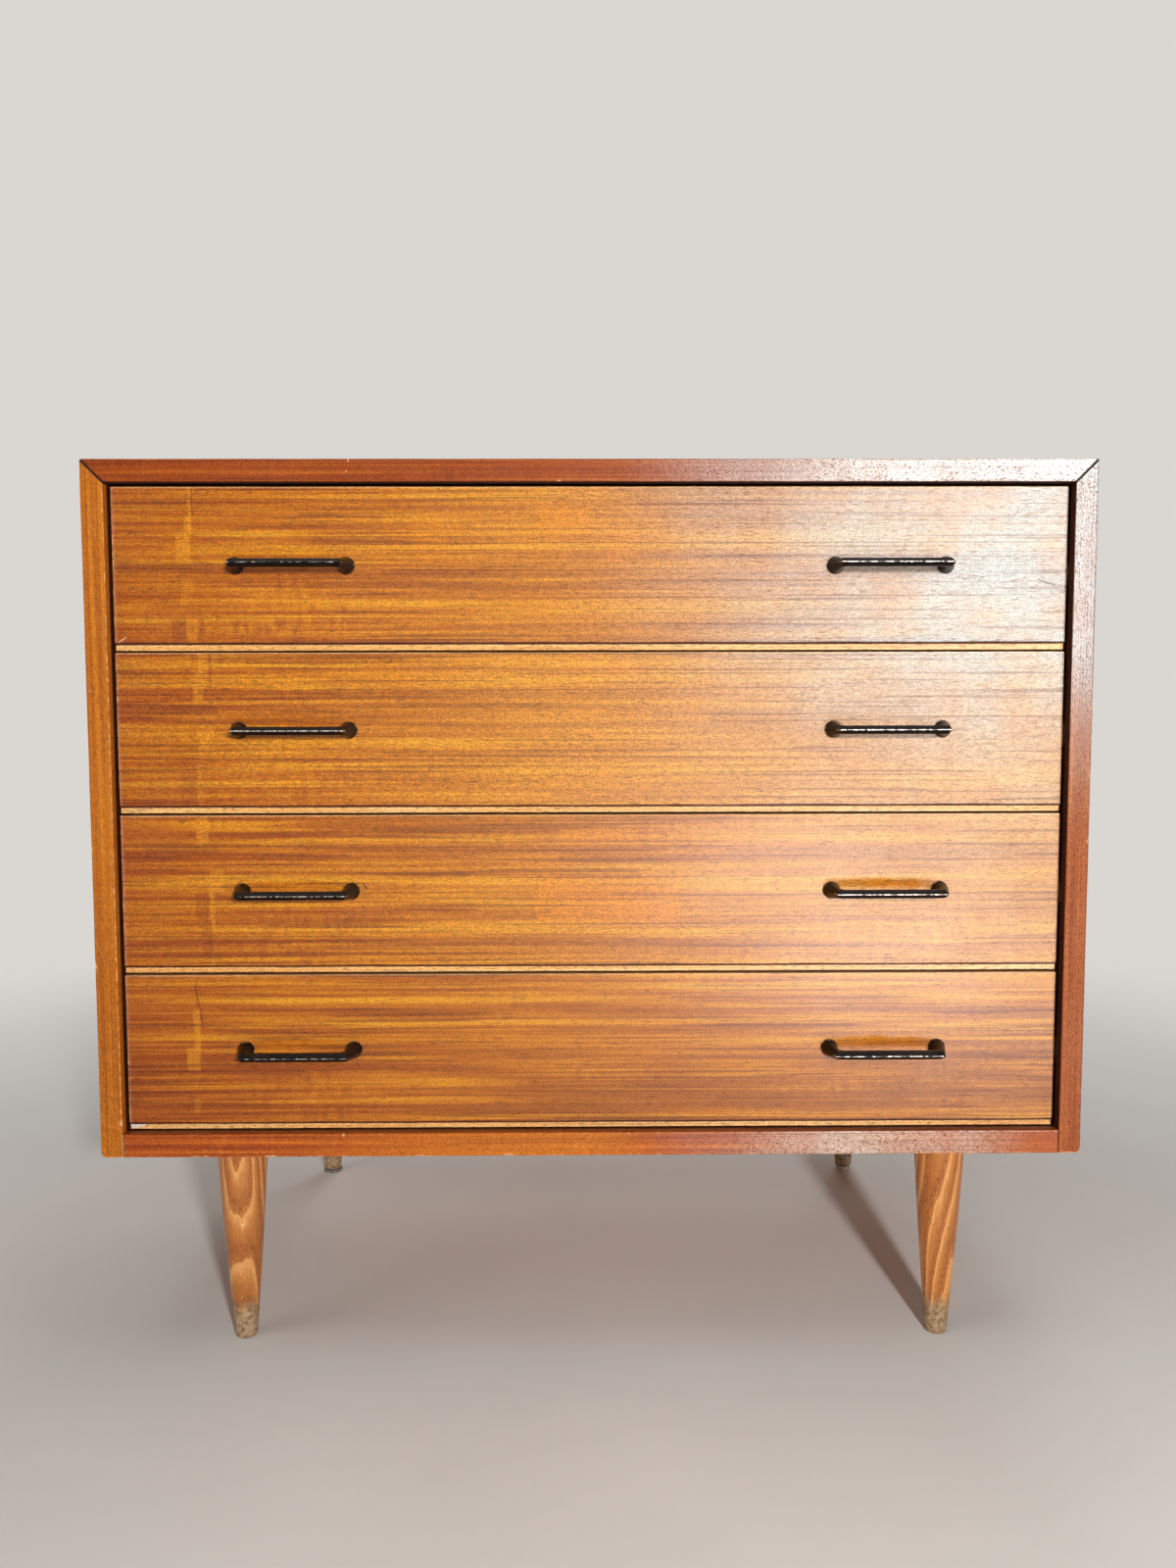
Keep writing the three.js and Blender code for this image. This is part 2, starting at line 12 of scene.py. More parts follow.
import bmesh
import bpy
import numpy as np
from mathutils import Matrix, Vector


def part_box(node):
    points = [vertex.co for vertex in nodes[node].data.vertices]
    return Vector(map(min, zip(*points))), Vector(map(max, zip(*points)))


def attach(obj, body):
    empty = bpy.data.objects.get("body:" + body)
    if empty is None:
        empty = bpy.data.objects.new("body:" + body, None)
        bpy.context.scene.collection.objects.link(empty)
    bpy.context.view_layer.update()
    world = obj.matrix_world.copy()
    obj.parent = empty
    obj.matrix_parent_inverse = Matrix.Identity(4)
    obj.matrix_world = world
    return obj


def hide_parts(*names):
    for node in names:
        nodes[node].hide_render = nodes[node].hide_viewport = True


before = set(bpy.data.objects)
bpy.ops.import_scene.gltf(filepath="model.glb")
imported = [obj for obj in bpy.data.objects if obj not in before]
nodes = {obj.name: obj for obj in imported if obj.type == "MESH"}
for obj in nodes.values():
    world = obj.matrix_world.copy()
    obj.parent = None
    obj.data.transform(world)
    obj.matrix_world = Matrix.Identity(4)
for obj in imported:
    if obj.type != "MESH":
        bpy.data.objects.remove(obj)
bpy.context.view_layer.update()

# %% [markdown]
# ## Camera
#
# The picture was taken from a bit over a metre in front of the chest, at about two thirds of its height, with
# the lens turned down by four degrees. A camera object could be turned by hand until the edges match. Here
# its three axes are worked out from yaw, pitch and roll, which keeps every number of the calibration in one
# place.

# %% Camera
CAMERA_PLACE = (-0.0103, -1.1248, 0.5437)
CAMERA_YAW, CAMERA_PITCH, CAMERA_ROLL = np.radians([0.464, 4.023, -0.116])
FOCAL_PIXELS = 1170
IMAGE_HEIGHT = 1600
SENSOR = 36.0


def camera_axes(yaw, pitch, roll):
    """Right, up and forward: turned about Z by the yaw, tilted down by the pitch, turned about the view."""
    forward = np.array([np.sin(yaw), np.cos(yaw), 0.0])
    right = np.array([np.cos(yaw), -np.sin(yaw), 0.0])
    up = np.array([0.0, 0.0, 1.0])
    forward, up = forward * np.cos(pitch) - up * np.sin(pitch), up * np.cos(pitch) + forward * np.sin(pitch)
    right, up = right * np.cos(roll) + up * np.sin(roll), up * np.cos(roll) - right * np.sin(roll)
    return right, up, forward


def shown(name, data):
    """An object for the data, in the scene."""
    thing = bpy.data.objects.new(name, data)
    bpy.context.scene.collection.objects.link(thing)
    return thing


def placed(directions, place):
    """The matrix of an object with these three directions as its own X, Y and Z, at this place."""
    pose = np.eye(4)
    pose[:3, :3] = np.stack(directions, axis=1)
    pose[:3, 3] = place
    return Matrix(pose.tolist())


right, up, forward = camera_axes(CAMERA_YAW, CAMERA_PITCH, CAMERA_ROLL)
lens = bpy.data.cameras.new("camera")
lens.sensor_width = SENSOR
lens.lens = FOCAL_PIXELS / IMAGE_HEIGHT * SENSOR
camera = shown("camera", lens)
camera.matrix_world = placed([right, up, -forward], CAMERA_PLACE)
bpy.context.scene.camera = camera
bpy.context.scene.view_settings.view_transform = "Standard"
print("lens", round(lens.lens, 2), "mm")

# %% [markdown]
# ## Sizes
#
# Nearly every size can be read from the boxes of the solids, so that the dressed pieces follow them. Only the
# sizes that a box doesn't tell, such as the worn radius of an arris, are written here.

# %% Sizes from the frame


def low_high(node):
    """Lowest and highest corner of a solid, as two arrays."""
    low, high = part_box(node)
    return np.array(low), np.array(high)


def middle_of(node):
    low, high = low_high(node)
    return (low + high) / 2


top_low, top_high = low_high("top_panel")
lipping_low, lipping_high = low_high("top_lipping")
rail_low, rail_high = low_high("bottom_rail")
left_low, left_high = low_high("left_lipping")
face_low, face_high = low_high("drawer_1_face")
CASE_BOTTOM, CASE_TOP = rail_low[2], top_high[2]
OPENING_BOTTOM, OPENING_TOP = rail_high[2], lipping_low[2]
CASE_HALF, OPENING_HALF = -left_low[0], -left_high[0]
BOARD = CASE_HALF - OPENING_HALF
FACE_HALF, FACE_FRONT = face_high[0], face_low[1]
FRONT, LIPPING_BACK = lipping_low[1], lipping_high[1]
MITRE_END, SIDE_TOP = lipping_high[0], left_high[2]
NUMBERS, SIDES = (1, 2, 3, 4), ((-1, "left"), (1, "right"))
print("case", np.round([CASE_HALF * 2, CASE_TOP - CASE_BOTTOM], 4), "board", round(BOARD, 4))

# %% [markdown]
# ## Surfaces from arrays
#
# Most pieces of a chest are a section carried along a line: boards, lippings, drawer sides, even the handles.
# One function turns such a stack of rings into faces, and one puts the arrays into a mesh, checks by the
# enclosed volume that the faces look outwards, and hangs the piece on its body.

# %% From rings to a piece
AXES = {"x": (0, 1, 2), "y": (1, 0, 2), "z": (2, 0, 1)}
SHARP_FROM = radians(38)


def skin(rings):
    """Quads between neighbours on each ring and the same two on the next, with one face to close each end."""
    stations, points = rings.shape[:2]
    index = np.arange(stations * points).reshape(stations, points)
    first, second = index[:-1], np.roll(index, -1, axis=1)[:-1]
    third, fourth = np.roll(index, -1, axis=1)[1:], index[1:]
    quads = np.stack([first, second, third, fourth], axis=-1).reshape(-1, 4)
    return quads, [index[0, ::-1], index[-1]]


def enclosed(points, quads, caps):
    """Volume inside the faces: the sum of the tetrahedra from the origin to each triangle."""
    a, b, c, d = (points[quads[:, k]] for k in range(4))
    total = (a * np.cross(b, c)).sum() + (a * np.cross(c, d)).sum()
    for cap in caps:
        rim = points[cap]
        total += (rim[0] * np.cross(rim[1:-1], rim[2:])).sum()
    return total / 6


def note(mesh, name, values):
    """Writes a number or a vector for each point, as an attribute that the materials read."""
    kind, key = ("FLOAT_VECTOR", "vector") if values.ndim == 2 else ("FLOAT", "value")
    mesh.attributes.new(name, kind, "POINT").data.foreach_set(key, values.astype(np.float32).ravel())


def make_piece(name, body, slot, replaced, material, points, faces=None, grain="x", shift=(0, 0, 0), **marks):
    """Puts the arrays into a mesh, with the grain's own coordinates and any marks. The points are rings to be
    skinned, unless the faces are given."""
    quads, caps = faces or skin(points)
    points = points.reshape(-1, 3)
    if enclosed(points, quads, caps) < 0:
        quads, caps = quads[:, ::-1], [cap[::-1] for cap in caps]
    mesh = bpy.data.meshes.new(name)
    mesh.from_pydata(points.tolist(), [], quads.tolist() + [cap.tolist() for cap in caps])
    if isinstance(grain, str):
        grain = points[:, AXES[grain]] + np.array(shift)
    note(mesh, "grain", grain)
    for mark, values in marks.items():
        note(mesh, mark, values)
    mesh.shade_smooth()
    mesh.set_sharp_from_angle(angle=SHARP_FROM)
    return hang(name, mesh, body, replaced, material)


def hang(name, mesh, body, replaced, material):
    """Makes the object at the origin and says what it rides on, stands for and takes its finish from."""
    piece = shown(name, mesh)
    mesh.materials.append(material)
    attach(piece, body)
    if replaced:
        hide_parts(*replaced)
    low, high = (np.round(f(np.array([v.co for v in mesh.vertices]), 0), 4) for f in (np.min, np.max))
    print(f"{name:24s} {len(mesh.polygons):6d} faces  {low} {high}")
    return piece


# %% [markdown]
# ## Worn arrises
#
# No edge of an old board is sharp. A Bevel modifier would round all edges alike. Working the section out in
# numpy lets the radius wander along the board and jump where something knocked against it, and the same
# numbers mark where the varnish has gone.

# %% Outlines with worn corners
ARC = 5
GUARD = 0.0012


def soft_outline(corners, radii, fill=0):
    """Rounds each corner by a parabola between its two edges, and adds a guard point on either side.

    corners is (stations, n, 2) and radii is (stations, n). The parabola starts and ends where a circle of that
    radius would touch the edges. The guard points keep the flats flat, and fill adds points between them."""
    back = np.roll(corners, 1, axis=1) - corners
    on = np.roll(corners, -1, axis=1) - corners
    back_length, on_length = (np.linalg.norm(v, axis=2, keepdims=True) for v in (back, on))
    back, on = back / back_length, on / on_length
    cosine = (back * on).sum(axis=2, keepdims=True)
    reach = radii[..., None] * np.sqrt((1 + cosine) / (1 - cosine))
    reach = np.minimum(reach, 0.4 * np.minimum(back_length, on_length))
    share = np.linspace(0, 1, ARC)[:, None]
    corner, back, on, reach = corners[:, :, None], back[:, :, None], on[:, :, None], reach[:, :, None]
    curve = corner + back * reach * (1 - share) ** 2 + on * reach * share**2
    before = corner + back * np.minimum(reach + GUARD, 0.45 * back_length[:, :, None])
    after = corner + on * np.minimum(reach + GUARD, 0.45 * on_length[:, :, None])
    steps = (np.arange(fill) + 1)[:, None] / (fill + 1)
    between = after + (np.roll(before, -1, axis=1) - after) * steps
    return np.concatenate([before, curve, after, between], axis=2).reshape(len(corners), -1, 2)


def on_arcs(weights, fill=0):
    """Marks for the same outline: the corner's weight on its arc, and nought on the flats."""
    blank = np.zeros(weights.shape + (1,))
    arcs = np.repeat(weights[..., None], ARC, axis=2)
    marks = np.concatenate([blank, arcs, blank, np.repeat(blank, fill, axis=2)], axis=2)
    return marks.reshape(len(weights), -1)


def wander(s, seed, columns=1, wavelength=0.12, waves=6):
    """Smooth noise of about -1 to 1 along s: sines of falling length and height with random phases."""
    turn = np.random.default_rng(seed).uniform(0, 2 * pi, (columns, waves))
    wave = np.arange(1, waves + 1)
    return (np.sin(2 * pi * s[:, None, None] * wave / wavelength + turn) / wave).sum(axis=2) / 1.6


def nicks(s, seed, counts, width=0.0016):
    """Bell curves of random place, width and height along s; the highest counts. A column for each corner."""
    random = np.random.default_rng(seed)
    most = max(max(counts), 1)
    place = random.uniform(s.min(), s.max(), (len(counts), most))
    size = random.uniform(0.25, 1.0, (len(counts), most)) ** 2
    size = size * (np.arange(most) < np.array(counts)[:, None])
    spread = width * random.uniform(0.6, 2.2, (len(counts), most))
    return (size * np.exp(-(((s[:, None, None] - place) / spread) ** 2))).max(axis=2)


# %% [markdown]
# ## Boards
#
# A board is its worn section carried along one axis. Its ends may be cut on a slant, which gives the mitres,
# and the section may step back near the rear, which gives the rebate for the back panel.

# %% One function for every board


def board(axis, corners, ends, radius, wear=1.0, nick=0, nick_depth=0.0012, end_round=0.0003, end_wear=(1, 1),
          seam=(0, 0), dirt=0.0, step=0.0035, seed=1, fill=0, rear=None, rear_at=None):
    """Rings of a section carried from one end to the other, and the marks of their points: worn, and seams with
    painted shade.

    ends are two numbers, or functions of the section's two coordinates where the cut slants. The section
    shrinks along a quarter circle at both ends. rear takes the corners' place from rear_at on."""
    corners = np.array(corners, float)
    count = len(corners)
    radius, wear, nick, dirt = (np.broadcast_to(v, count) for v in (radius, wear, nick, dirt))
    low_cut, high_cut = (e if callable(e) else (lambda u, v, e=e: np.full(u.shape, e)) for e in ends)
    low, high = low_cut(*corners.T).min(), high_cut(*corners.T).max()
    length = high - low
    tips = end_round * np.array([0, 0.13, 0.5, 1])
    between_tips = np.linspace(end_round + GUARD, length - end_round - GUARD, max(2, int(length / step)))
    s = np.concatenate([tips, between_tips, length - tips[::-1]])
    shape = np.repeat(corners[None], len(s), axis=0)
    if rear is not None:
        cut = rear_at - low
        s = np.sort(np.concatenate([s, [cut, cut]]))
        behind = np.arange(len(s)) > np.searchsorted(s, cut)
        shape = np.where(behind[:, None, None], np.array(rear, float), corners)
    hits = nicks(s, seed + 1, nick)
    radii = radius * (1 + 0.35 * wander(s, seed, count)) + nick_depth * hits
    section = soft_outline(shape, radii, fill)
    depth = np.clip(1 - np.minimum(s, length - s) / end_round, 0, 1)
    inset = (end_round * (1 - np.sqrt(1 - depth**2)))[:, None, None]
    middle = (section.max(axis=1, keepdims=True) + section.min(axis=1, keepdims=True)) / 2
    half = (section.max(axis=1, keepdims=True) - section.min(axis=1, keepdims=True)) / 2
    section = middle + (section - middle) * (1 - inset / half)
    u, v = section[..., 0], section[..., 1]
    along = low_cut(u, v) + (high_cut(u, v) - low_cut(u, v)) * (s / length)[:, None]
    points = np.empty(u.shape + (3,))
    for place, values in zip(AXES[axis], (along, u, v)):
        points[..., place] = values
    first, last = s <= end_round * 1.01, s >= length - end_round * 1.01
    worn = on_arcs(wear * (1 + 1.2 * hits), fill)
    ends_worn = (first * end_wear[0] + last * end_wear[1])[:, None]
    joints = (first * seam[0] + last * seam[1])[:, None]
    # Dark joints at the ends, and painted shade along the arrises that dirt gives
    seams = np.maximum(joints, on_arcs(np.repeat(dirt[None], len(s), axis=0), fill))
    return points, {"worn": np.maximum(worn, ends_worn).ravel(), "seam": seams.ravel()}


def add_board(name, body, slot, node, material, grain, shift, shade=None, **shape):
    """Makes a board in place of a solid. shade is (direction, distance, how dark): painted shade, which darkens
    what lies past the distance in that direction, apart from the very front."""
    points, marks = board(**shape)
    if shade:
        direction, distance, depth = shade
        inner = (points @ np.array(direction, float) > distance - 0.0002) & (points[..., 1] > FRONT + 0.0006)
        marks["seam"] = np.maximum(marks["seam"], depth * inner.ravel())
    make_piece(name, body, slot, [node], material, points, grain=grain, shift=shift, **marks)


def oblong(low, high):
    """The corners of a box, seen along x: low at the front, low and high at the back, high at the front."""
    return [(low[1], low[2]), (high[1], low[2]), (high[1], high[2]), (low[1], high[2])]


# %% [markdown]
# ## Shader tools
#
# Every finish on this chest is built from a few effects: fibres stretched along the grain, growth rings, worn
# arrises, and fine scratches. Each is a node group, made once and placed in each material with its own
# values. The helpers below add a node, give its inputs their values or links, and hand back its outputs, so
# that a finish reads as a list of steps.

# %% Small helpers for node trees


def colour(red, green, blue):
    """A colour as a painter would pick it on a screen, turned to the linear values that the renderer takes."""
    value = np.array([red, green, blue]) / 255
    linear = np.where(value < 0.04045, value / 12.92, ((value + 0.055) / 1.055) ** 2.4)
    return (*linear.tolist(), 1.0)


def fill(tree, node, inputs):
    """Gives each input its value, or the link from the socket that feeds it. Inputs go by name or number."""
    for key, value in inputs.items():
        if isinstance(value, bpy.types.NodeSocket):
            tree.links.new(value, node.inputs[key])
        else:
            node.inputs[key].default_value = value
    return node.outputs


def spaced(inputs):
    """The same inputs with a space in place of each underscore, as Blender names them."""
    return {key.replace("_", " "): value for key, value in inputs.items()}


def add(tree, kind, inputs=(), **settings):
    """Adds one node with its settings and inputs, and returns its outputs."""
    node = tree.nodes.new(kind)
    for key, value in settings.items():
        setattr(node, key, value)
    return fill(tree, node, dict(inputs))


def use(tree, group, **inputs):
    """Places a group in a tree."""
    return add(tree, "ShaderNodeGroup", spaced(inputs), node_tree=group)


def maths(tree, operation, first, second=0.0, third=0.0):
    return add(tree, "ShaderNodeMath", {0: first, 1: second, 2: third}, operation=operation)[0]


def times(tree, value, *factors):
    for factor in factors:
        value = maths(tree, "MULTIPLY", value, factor)
    return value


def less(tree, first, second):
    return maths(tree, "SUBTRACT", first, second)


def sway(tree, value, noise, reach):
    """Moves a value up and down with a noise: value + (noise - one half) * reach."""
    return maths(tree, "MULTIPLY_ADD", less(tree, noise, 0.5), reach, value)


def vectors(tree, operation, first, second=None):
    """A sum on vectors. SCALE takes a number as its second, and LENGTH and DOT_PRODUCT give one."""
    inputs = {0: first} if second is None else {0: first, "Scale" if operation == "SCALE" else 1: second}
    outputs = add(tree, "ShaderNodeVectorMath", inputs, operation=operation)
    return outputs["Value" if operation in ("LENGTH", "DOT_PRODUCT") else "Vector"]


def axes(tree, vector):
    """The three coordinates of a vector."""
    return add(tree, "ShaderNodeSeparateXYZ", {0: vector})


def clouds(tree, vector, scale, detail, output=0):
    """Noise of a scale: output 0 is one number, and output 1 three."""
    return add(tree, "ShaderNodeTexNoise", {"Vector": vector, "Scale": scale, "Detail": detail})[output]


def shaken(tree, vector, scale, detail, reach):
    """A place that noise moves by up to half of the reach each way."""
    centred = vectors(tree, "SUBTRACT", clouds(tree, vector, scale, detail, 1), (0.5, 0.5, 0.5))
    return vectors(tree, "ADD", vector, vectors(tree, "SCALE", centred, reach))


def remap(tree, value, low, high, to_low=0.0, to_high=1.0, smooth=True):
    """Brings a value from one range to another, and keeps it there."""
    kind = "SMOOTHSTEP" if smooth else "LINEAR"
    inputs = {"Value": value, "From Min": low, "From Max": high, "To Min": to_low, "To Max": to_high}
    return add(tree, "ShaderNodeMapRange", inputs, interpolation_type=kind)[0]


def between(tree, value, rise, fall, top=1.0, rest=0.0):
    """A mask that rises over one range, and over a second one falls from the top to the rest."""
    return times(tree, remap(tree, value, *rise), remap(tree, value, *fall, top, rest))


def blend(tree, share, first, second, kind="MIX"):
    """Mixes two colours by a share."""
    return add(tree, "ShaderNodeMix", {0: share, 6: first, 7: second}, data_type="RGBA", blend_type=kind)[2]


def paint(tree, tone, mask, shade, strength=None):
    """Lays a shade over a tone where the mask says, and thins it by the strength."""
    share = mask if strength is None else times(tree, mask, strength)
    return blend(tree, share, tone, colour(*shade))


def ramp(tree, value, stops):
    """A colour ramp from (place, colour) pairs."""
    outputs = add(tree, "ShaderNodeValToRGB", {0: value})
    elements = outputs[0].node.color_ramp.elements
    while len(elements) < len(stops):
        elements.new(1.0)
    for element, (place, tone) in zip(elements, stops):
        element.position = place
        element.color = colour(*tone)
    return outputs[0]


def new_group(name, inputs, outputs):
    """A node group with named inputs and outputs. Each input is (name, default)."""
    tree = bpy.data.node_groups.new(name, "ShaderNodeTree")
    for label, default in inputs:
        kind = "NodeSocketVector" if default is None else "NodeSocketFloat"
        socket = tree.interface.new_socket(label, in_out="INPUT", socket_type=kind)
        if default is not None:
            socket.default_value = default
    for label in outputs:
        tree.interface.new_socket(label, in_out="OUTPUT", socket_type="NodeSocketFloat")
    return tree, tree.nodes.new("NodeGroupInput").outputs, tree.nodes.new("NodeGroupOutput")


def end_group(tree, result, **outputs):
    """Links what the group gives, and prints its name."""
    fill(tree, result, outputs)
    print("group", tree.name)


# %% [markdown]
# ## Fibres
#
# Wood seen along the grain is a bundle of long fibres. The effect is plain noise in a space that is squeezed
# along the fibre: divide the grain's coordinates by the fibre's length and width, and round blobs become long
# streaks.

# %% Streaks
streaks, given, result = new_group(
    "streaks", [("Vector", None), ("Length", 0.2), ("Width", 0.003), ("Detail", 2.0)], ["Value"])
size = add(streaks, "ShaderNodeCombineXYZ", {0: given["Length"], 1: given["Width"], 2: given["Width"]})[0]
squeezed = vectors(streaks, "DIVIDE", given["Vector"], size)
end_group(streaks, result, Value=clouds(streaks, squeezed, 1.0, given["Detail"]))


def fibres(tree, vector, length, width, detail):
    """The streaks, placed in another tree."""
    return use(tree, streaks, Vector=vector, Length=length, Width=width, Detail=detail)[0]


# %% [markdown]
# ## Figure of the veneer
#
# The faces show broad golden and red-brown stripes that drift a little, fine lines between them, a few long
# dark ones, short pores, a ripple across the grain, and a grit of single cells. All come from the streaks
# group at different lengths and widths. The stripes' space is first bent by slow noise, because no tree is
# straight.

# %% Wood figure
figure, given, result = new_group(
    "wood_figure",
    [("Vector", None), ("Stripe Length", 0.5), ("Stripe Width", 0.01), ("Line Width", 0.0012), ("Drift", 0.006),
     ("Pore Length", 0.008), ("Pore Width", 0.0005)],
    ["Stripe", "Fine", "Line", "Pore", "Ripple", "Grit"])
slow = vectors(figure, "MULTIPLY", given["Vector"], (2.2, 9.0, 9.0))
offset = times(figure, less(figure, clouds(figure, slow, 1.0, 1.0), 0.5), given["Drift"])
bent = vectors(figure, "ADD", given["Vector"], add(figure, "ShaderNodeCombineXYZ", {1: offset})[0])
thin = times(figure, given["Line Width"], 0.6)
line = fibres(figure, bent, length=0.25, width=thin, detail=0.0)
pore = fibres(figure, bent, given["Pore Length"], given["Pore Width"], detail=0.0)
wave = fibres(figure, given["Vector"], length=0.005, width=0.013, detail=1.0)
area = fibres(figure, given["Vector"], length=0.09, width=0.05, detail=0.0)
end_group(figure, result,
          Stripe=fibres(figure, bent, given["Stripe Length"], given["Stripe Width"], detail=3.0),
          Fine=fibres(figure, bent, length=0.2, width=given["Line Width"], detail=3.0),
          Line=remap(figure, line, 0.61, 0.72),
          Pore=remap(figure, pore, 0.60, 0.70),
          Ripple=times(figure, remap(figure, area, 0.5, 0.7), less(figure, wave, 0.5)),
          Grit=fibres(figure, given["Vector"], length=0.0015, width=0.0008, detail=1.0))

# %% [markdown]
# ## Growth rings
#
# A turned leg is cut from solid wood, so its arches are the tree's rings met on a slant. The distance from
# the pith, divided by the width of one year, gives them. Inside a year the wood darkens slowly and then
# breaks off.

# %% Rings
rings_group, given, result = new_group(
    "growth_rings", [("Vector", None), ("Year", 0.0045), ("Wobble", 0.5)], ["Value"])
across = vectors(rings_group, "MULTIPLY", given["Vector"], (0.0, 1.0, 1.0))
count = maths(rings_group, "DIVIDE", vectors(rings_group, "LENGTH", across), given["Year"])
wobble = fibres(rings_group, given["Vector"], length=0.12, width=0.012, detail=2.0)
years = maths(rings_group, "MULTIPLY_ADD", wobble, given["Wobble"], count)
end_group(rings_group, result, Value=maths(rings_group, "FRACT", years))

# %% [markdown]
# ## Wear and scratches
#
# Varnish goes first where hands and cloths pass over an arris. The boards already carry a mark that is one on
# the arris and nought a few millimetres away. Noise breaks that mark into the ragged patches that real wear
# leaves.

# %% Wear
wear_group, given, result = new_group(
    "arris_wear", [("Vector", None), ("Worn", 0.0), ("Amount", 0.5), ("Patch", 0.006)], ["Mask"])
finer = maths(wear_group, "DIVIDE", 1.0, given["Patch"])
ragged = clouds(wear_group, vectors(wear_group, "SCALE", given["Vector"], finer), 1.0, 4.0)
level = maths(wear_group, "ADD", times(wear_group, given["Worn"], given["Amount"]), ragged)
end_group(wear_group, result, Mask=remap(wear_group, level, 0.92, 1.16))

# %% Scratches
# Turn in radians, length, width, and the noise's level from which a scratch shows
SCRATCH_SETS = ((0.35, 0.05, 0.0004, 0.76), (-0.6, 0.03, 0.0003, 0.78), (1.35, 0.04, 0.0003, 0.79))

scratch_group, given, result = new_group("scratches", [("Vector", None), ("Amount", 0.5)], ["Mask", "Smudge"])
total = None
for turn, long, thin, limit in SCRATCH_SETS:
    turned = add(scratch_group, "ShaderNodeVectorRotate", {"Vector": given["Vector"], "Angle": turn},
                 rotation_type="Z_AXIS")[0]
    one = remap(scratch_group, fibres(scratch_group, turned, long, thin, detail=0.0), limit, limit + 0.03)
    total = one if total is None else maths(scratch_group, "MAXIMUM", total, one)
end_group(scratch_group, result, Mask=times(scratch_group, total, given["Amount"]),
          Smudge=clouds(scratch_group, given["Vector"], 14.0, 3.0))

# %% [markdown]
# ## Single strokes and patches
#
# A crack or a single scratch runs from one known place to another, so noise alone can't make it. Its mask is
# the distance from a straight line between the two places, seen from the front and shaken a little. A patch
# is the same for a small area: four edges, multiplied, with the place shaken so that none is straight. Its
# softness widens the edges and the shaking alike.

# %% Stroke
stroke_group, given, result = new_group(
    "stroke",
    [("Vector", None), ("Start", None), ("Along", None), ("Width", 0.001), ("Shake", 0.0012)], ["Mask"])
moved = shaken(stroke_group, given["Vector"], 160.0, 2.0, given["Shake"])
offset = vectors(stroke_group, "SUBTRACT", moved, given["Start"])
flat = vectors(stroke_group, "MULTIPLY", offset, (1.0, 0.0, 1.0))
reached = vectors(stroke_group, "DOT_PRODUCT", flat, given["Along"])
whole = vectors(stroke_group, "DOT_PRODUCT", given["Along"], given["Along"])
share = remap(stroke_group, reached, 0.0, whole, smooth=False)
missed = vectors(stroke_group, "SUBTRACT", flat, vectors(stroke_group, "SCALE", given["Along"], share))
away = vectors(stroke_group, "LENGTH", missed)
core = times(stroke_group, given["Width"], 0.3)
end_group(stroke_group, result, Mask=remap(stroke_group, away, core, given["Width"], 1.0, 0.0))

# %% Patch
PATCH_SHAKE = 0.003
SIDE_EDGE, LEVEL_EDGE = 0.0007, 0.0016

patch_group, given, result = new_group(
    "patch",
    [("Vector", None), ("Left", 0.0), ("Right", 0.0), ("Low", 0.0), ("High", 0.0), ("Soft", 1.0)], ["Mask"])
reach = times(patch_group, given["Soft"], PATCH_SHAKE)
place = axes(patch_group, shaken(patch_group, given["Vector"], 110.0, 3.0, reach))
sides = []
for value, low, high, soft in ((place[0], given["Left"], given["Right"], SIDE_EDGE),
                               (place[2], given["Low"], given["High"], LEVEL_EDGE)):
    for past in (less(patch_group, value, low), less(patch_group, high, value)):
        sides.append(remap(patch_group, maths(patch_group, "DIVIDE", past, given["Soft"]), -soft, soft))
end_group(patch_group, result, Mask=times(patch_group, *sides))

# %% [markdown]
# ## Wood finishes
#
# Veneer, lippings, drawer boxes and plywood are the same idea with other tones and sizes: the figure picks a
# tone, lines and pores darken it, joints are dark with old glue, painted shade darkens what a piece marks as
# lying in shadow, worn arrises show bare wood, and the varnish is a little rougher where it has been rubbed.

# %% Material for a wooden board
PALE, LINE_TONE = (228, 178, 118), (96, 36, 10)
BAND_REACH, BAND_BEND = 0.13, 0.012
RIPPLE_DEPTH, SEAM_AND_SHADE_DEPTH, SCRATCH_DEPTH = 0.3, 0.92, 0.35
BARE_ROUGHER = 0.4


def at(tree):
    """The place in the frame's own coordinates."""
    return add(tree, "ShaderNodeTexCoord")["Object"]


def mark(tree, name, socket="Fac"):
    """A mark that the piece carries on its points."""
    return add(tree, "ShaderNodeAttribute", attribute_name=name)[socket]


def wear_of(tree, vector, amount, **inputs):
    """Where the arrises of a piece are worn through."""
    return use(tree, wear_group, Vector=vector, Worn=mark(tree, "worn"), Amount=amount, **inputs)[0]


def start_material(name):
    material = bpy.data.materials.new(name)
    material.use_nodes = True
    tree = material.node_tree
    shader = next(n for n in tree.nodes if n.type == "BSDF_PRINCIPLED")
    return material, tree, shader


def feed(tree, shader, height, distance, strength=1.0, **inputs):
    """Fills the shader's inputs, and lets the height lift the surface by up to the distance."""
    bumps = add(tree, "ShaderNodeBump", {"Strength": strength, "Distance": distance, "Height": height})
    fill(tree, shader, {"Normal": bumps[0], **spaced(inputs)})


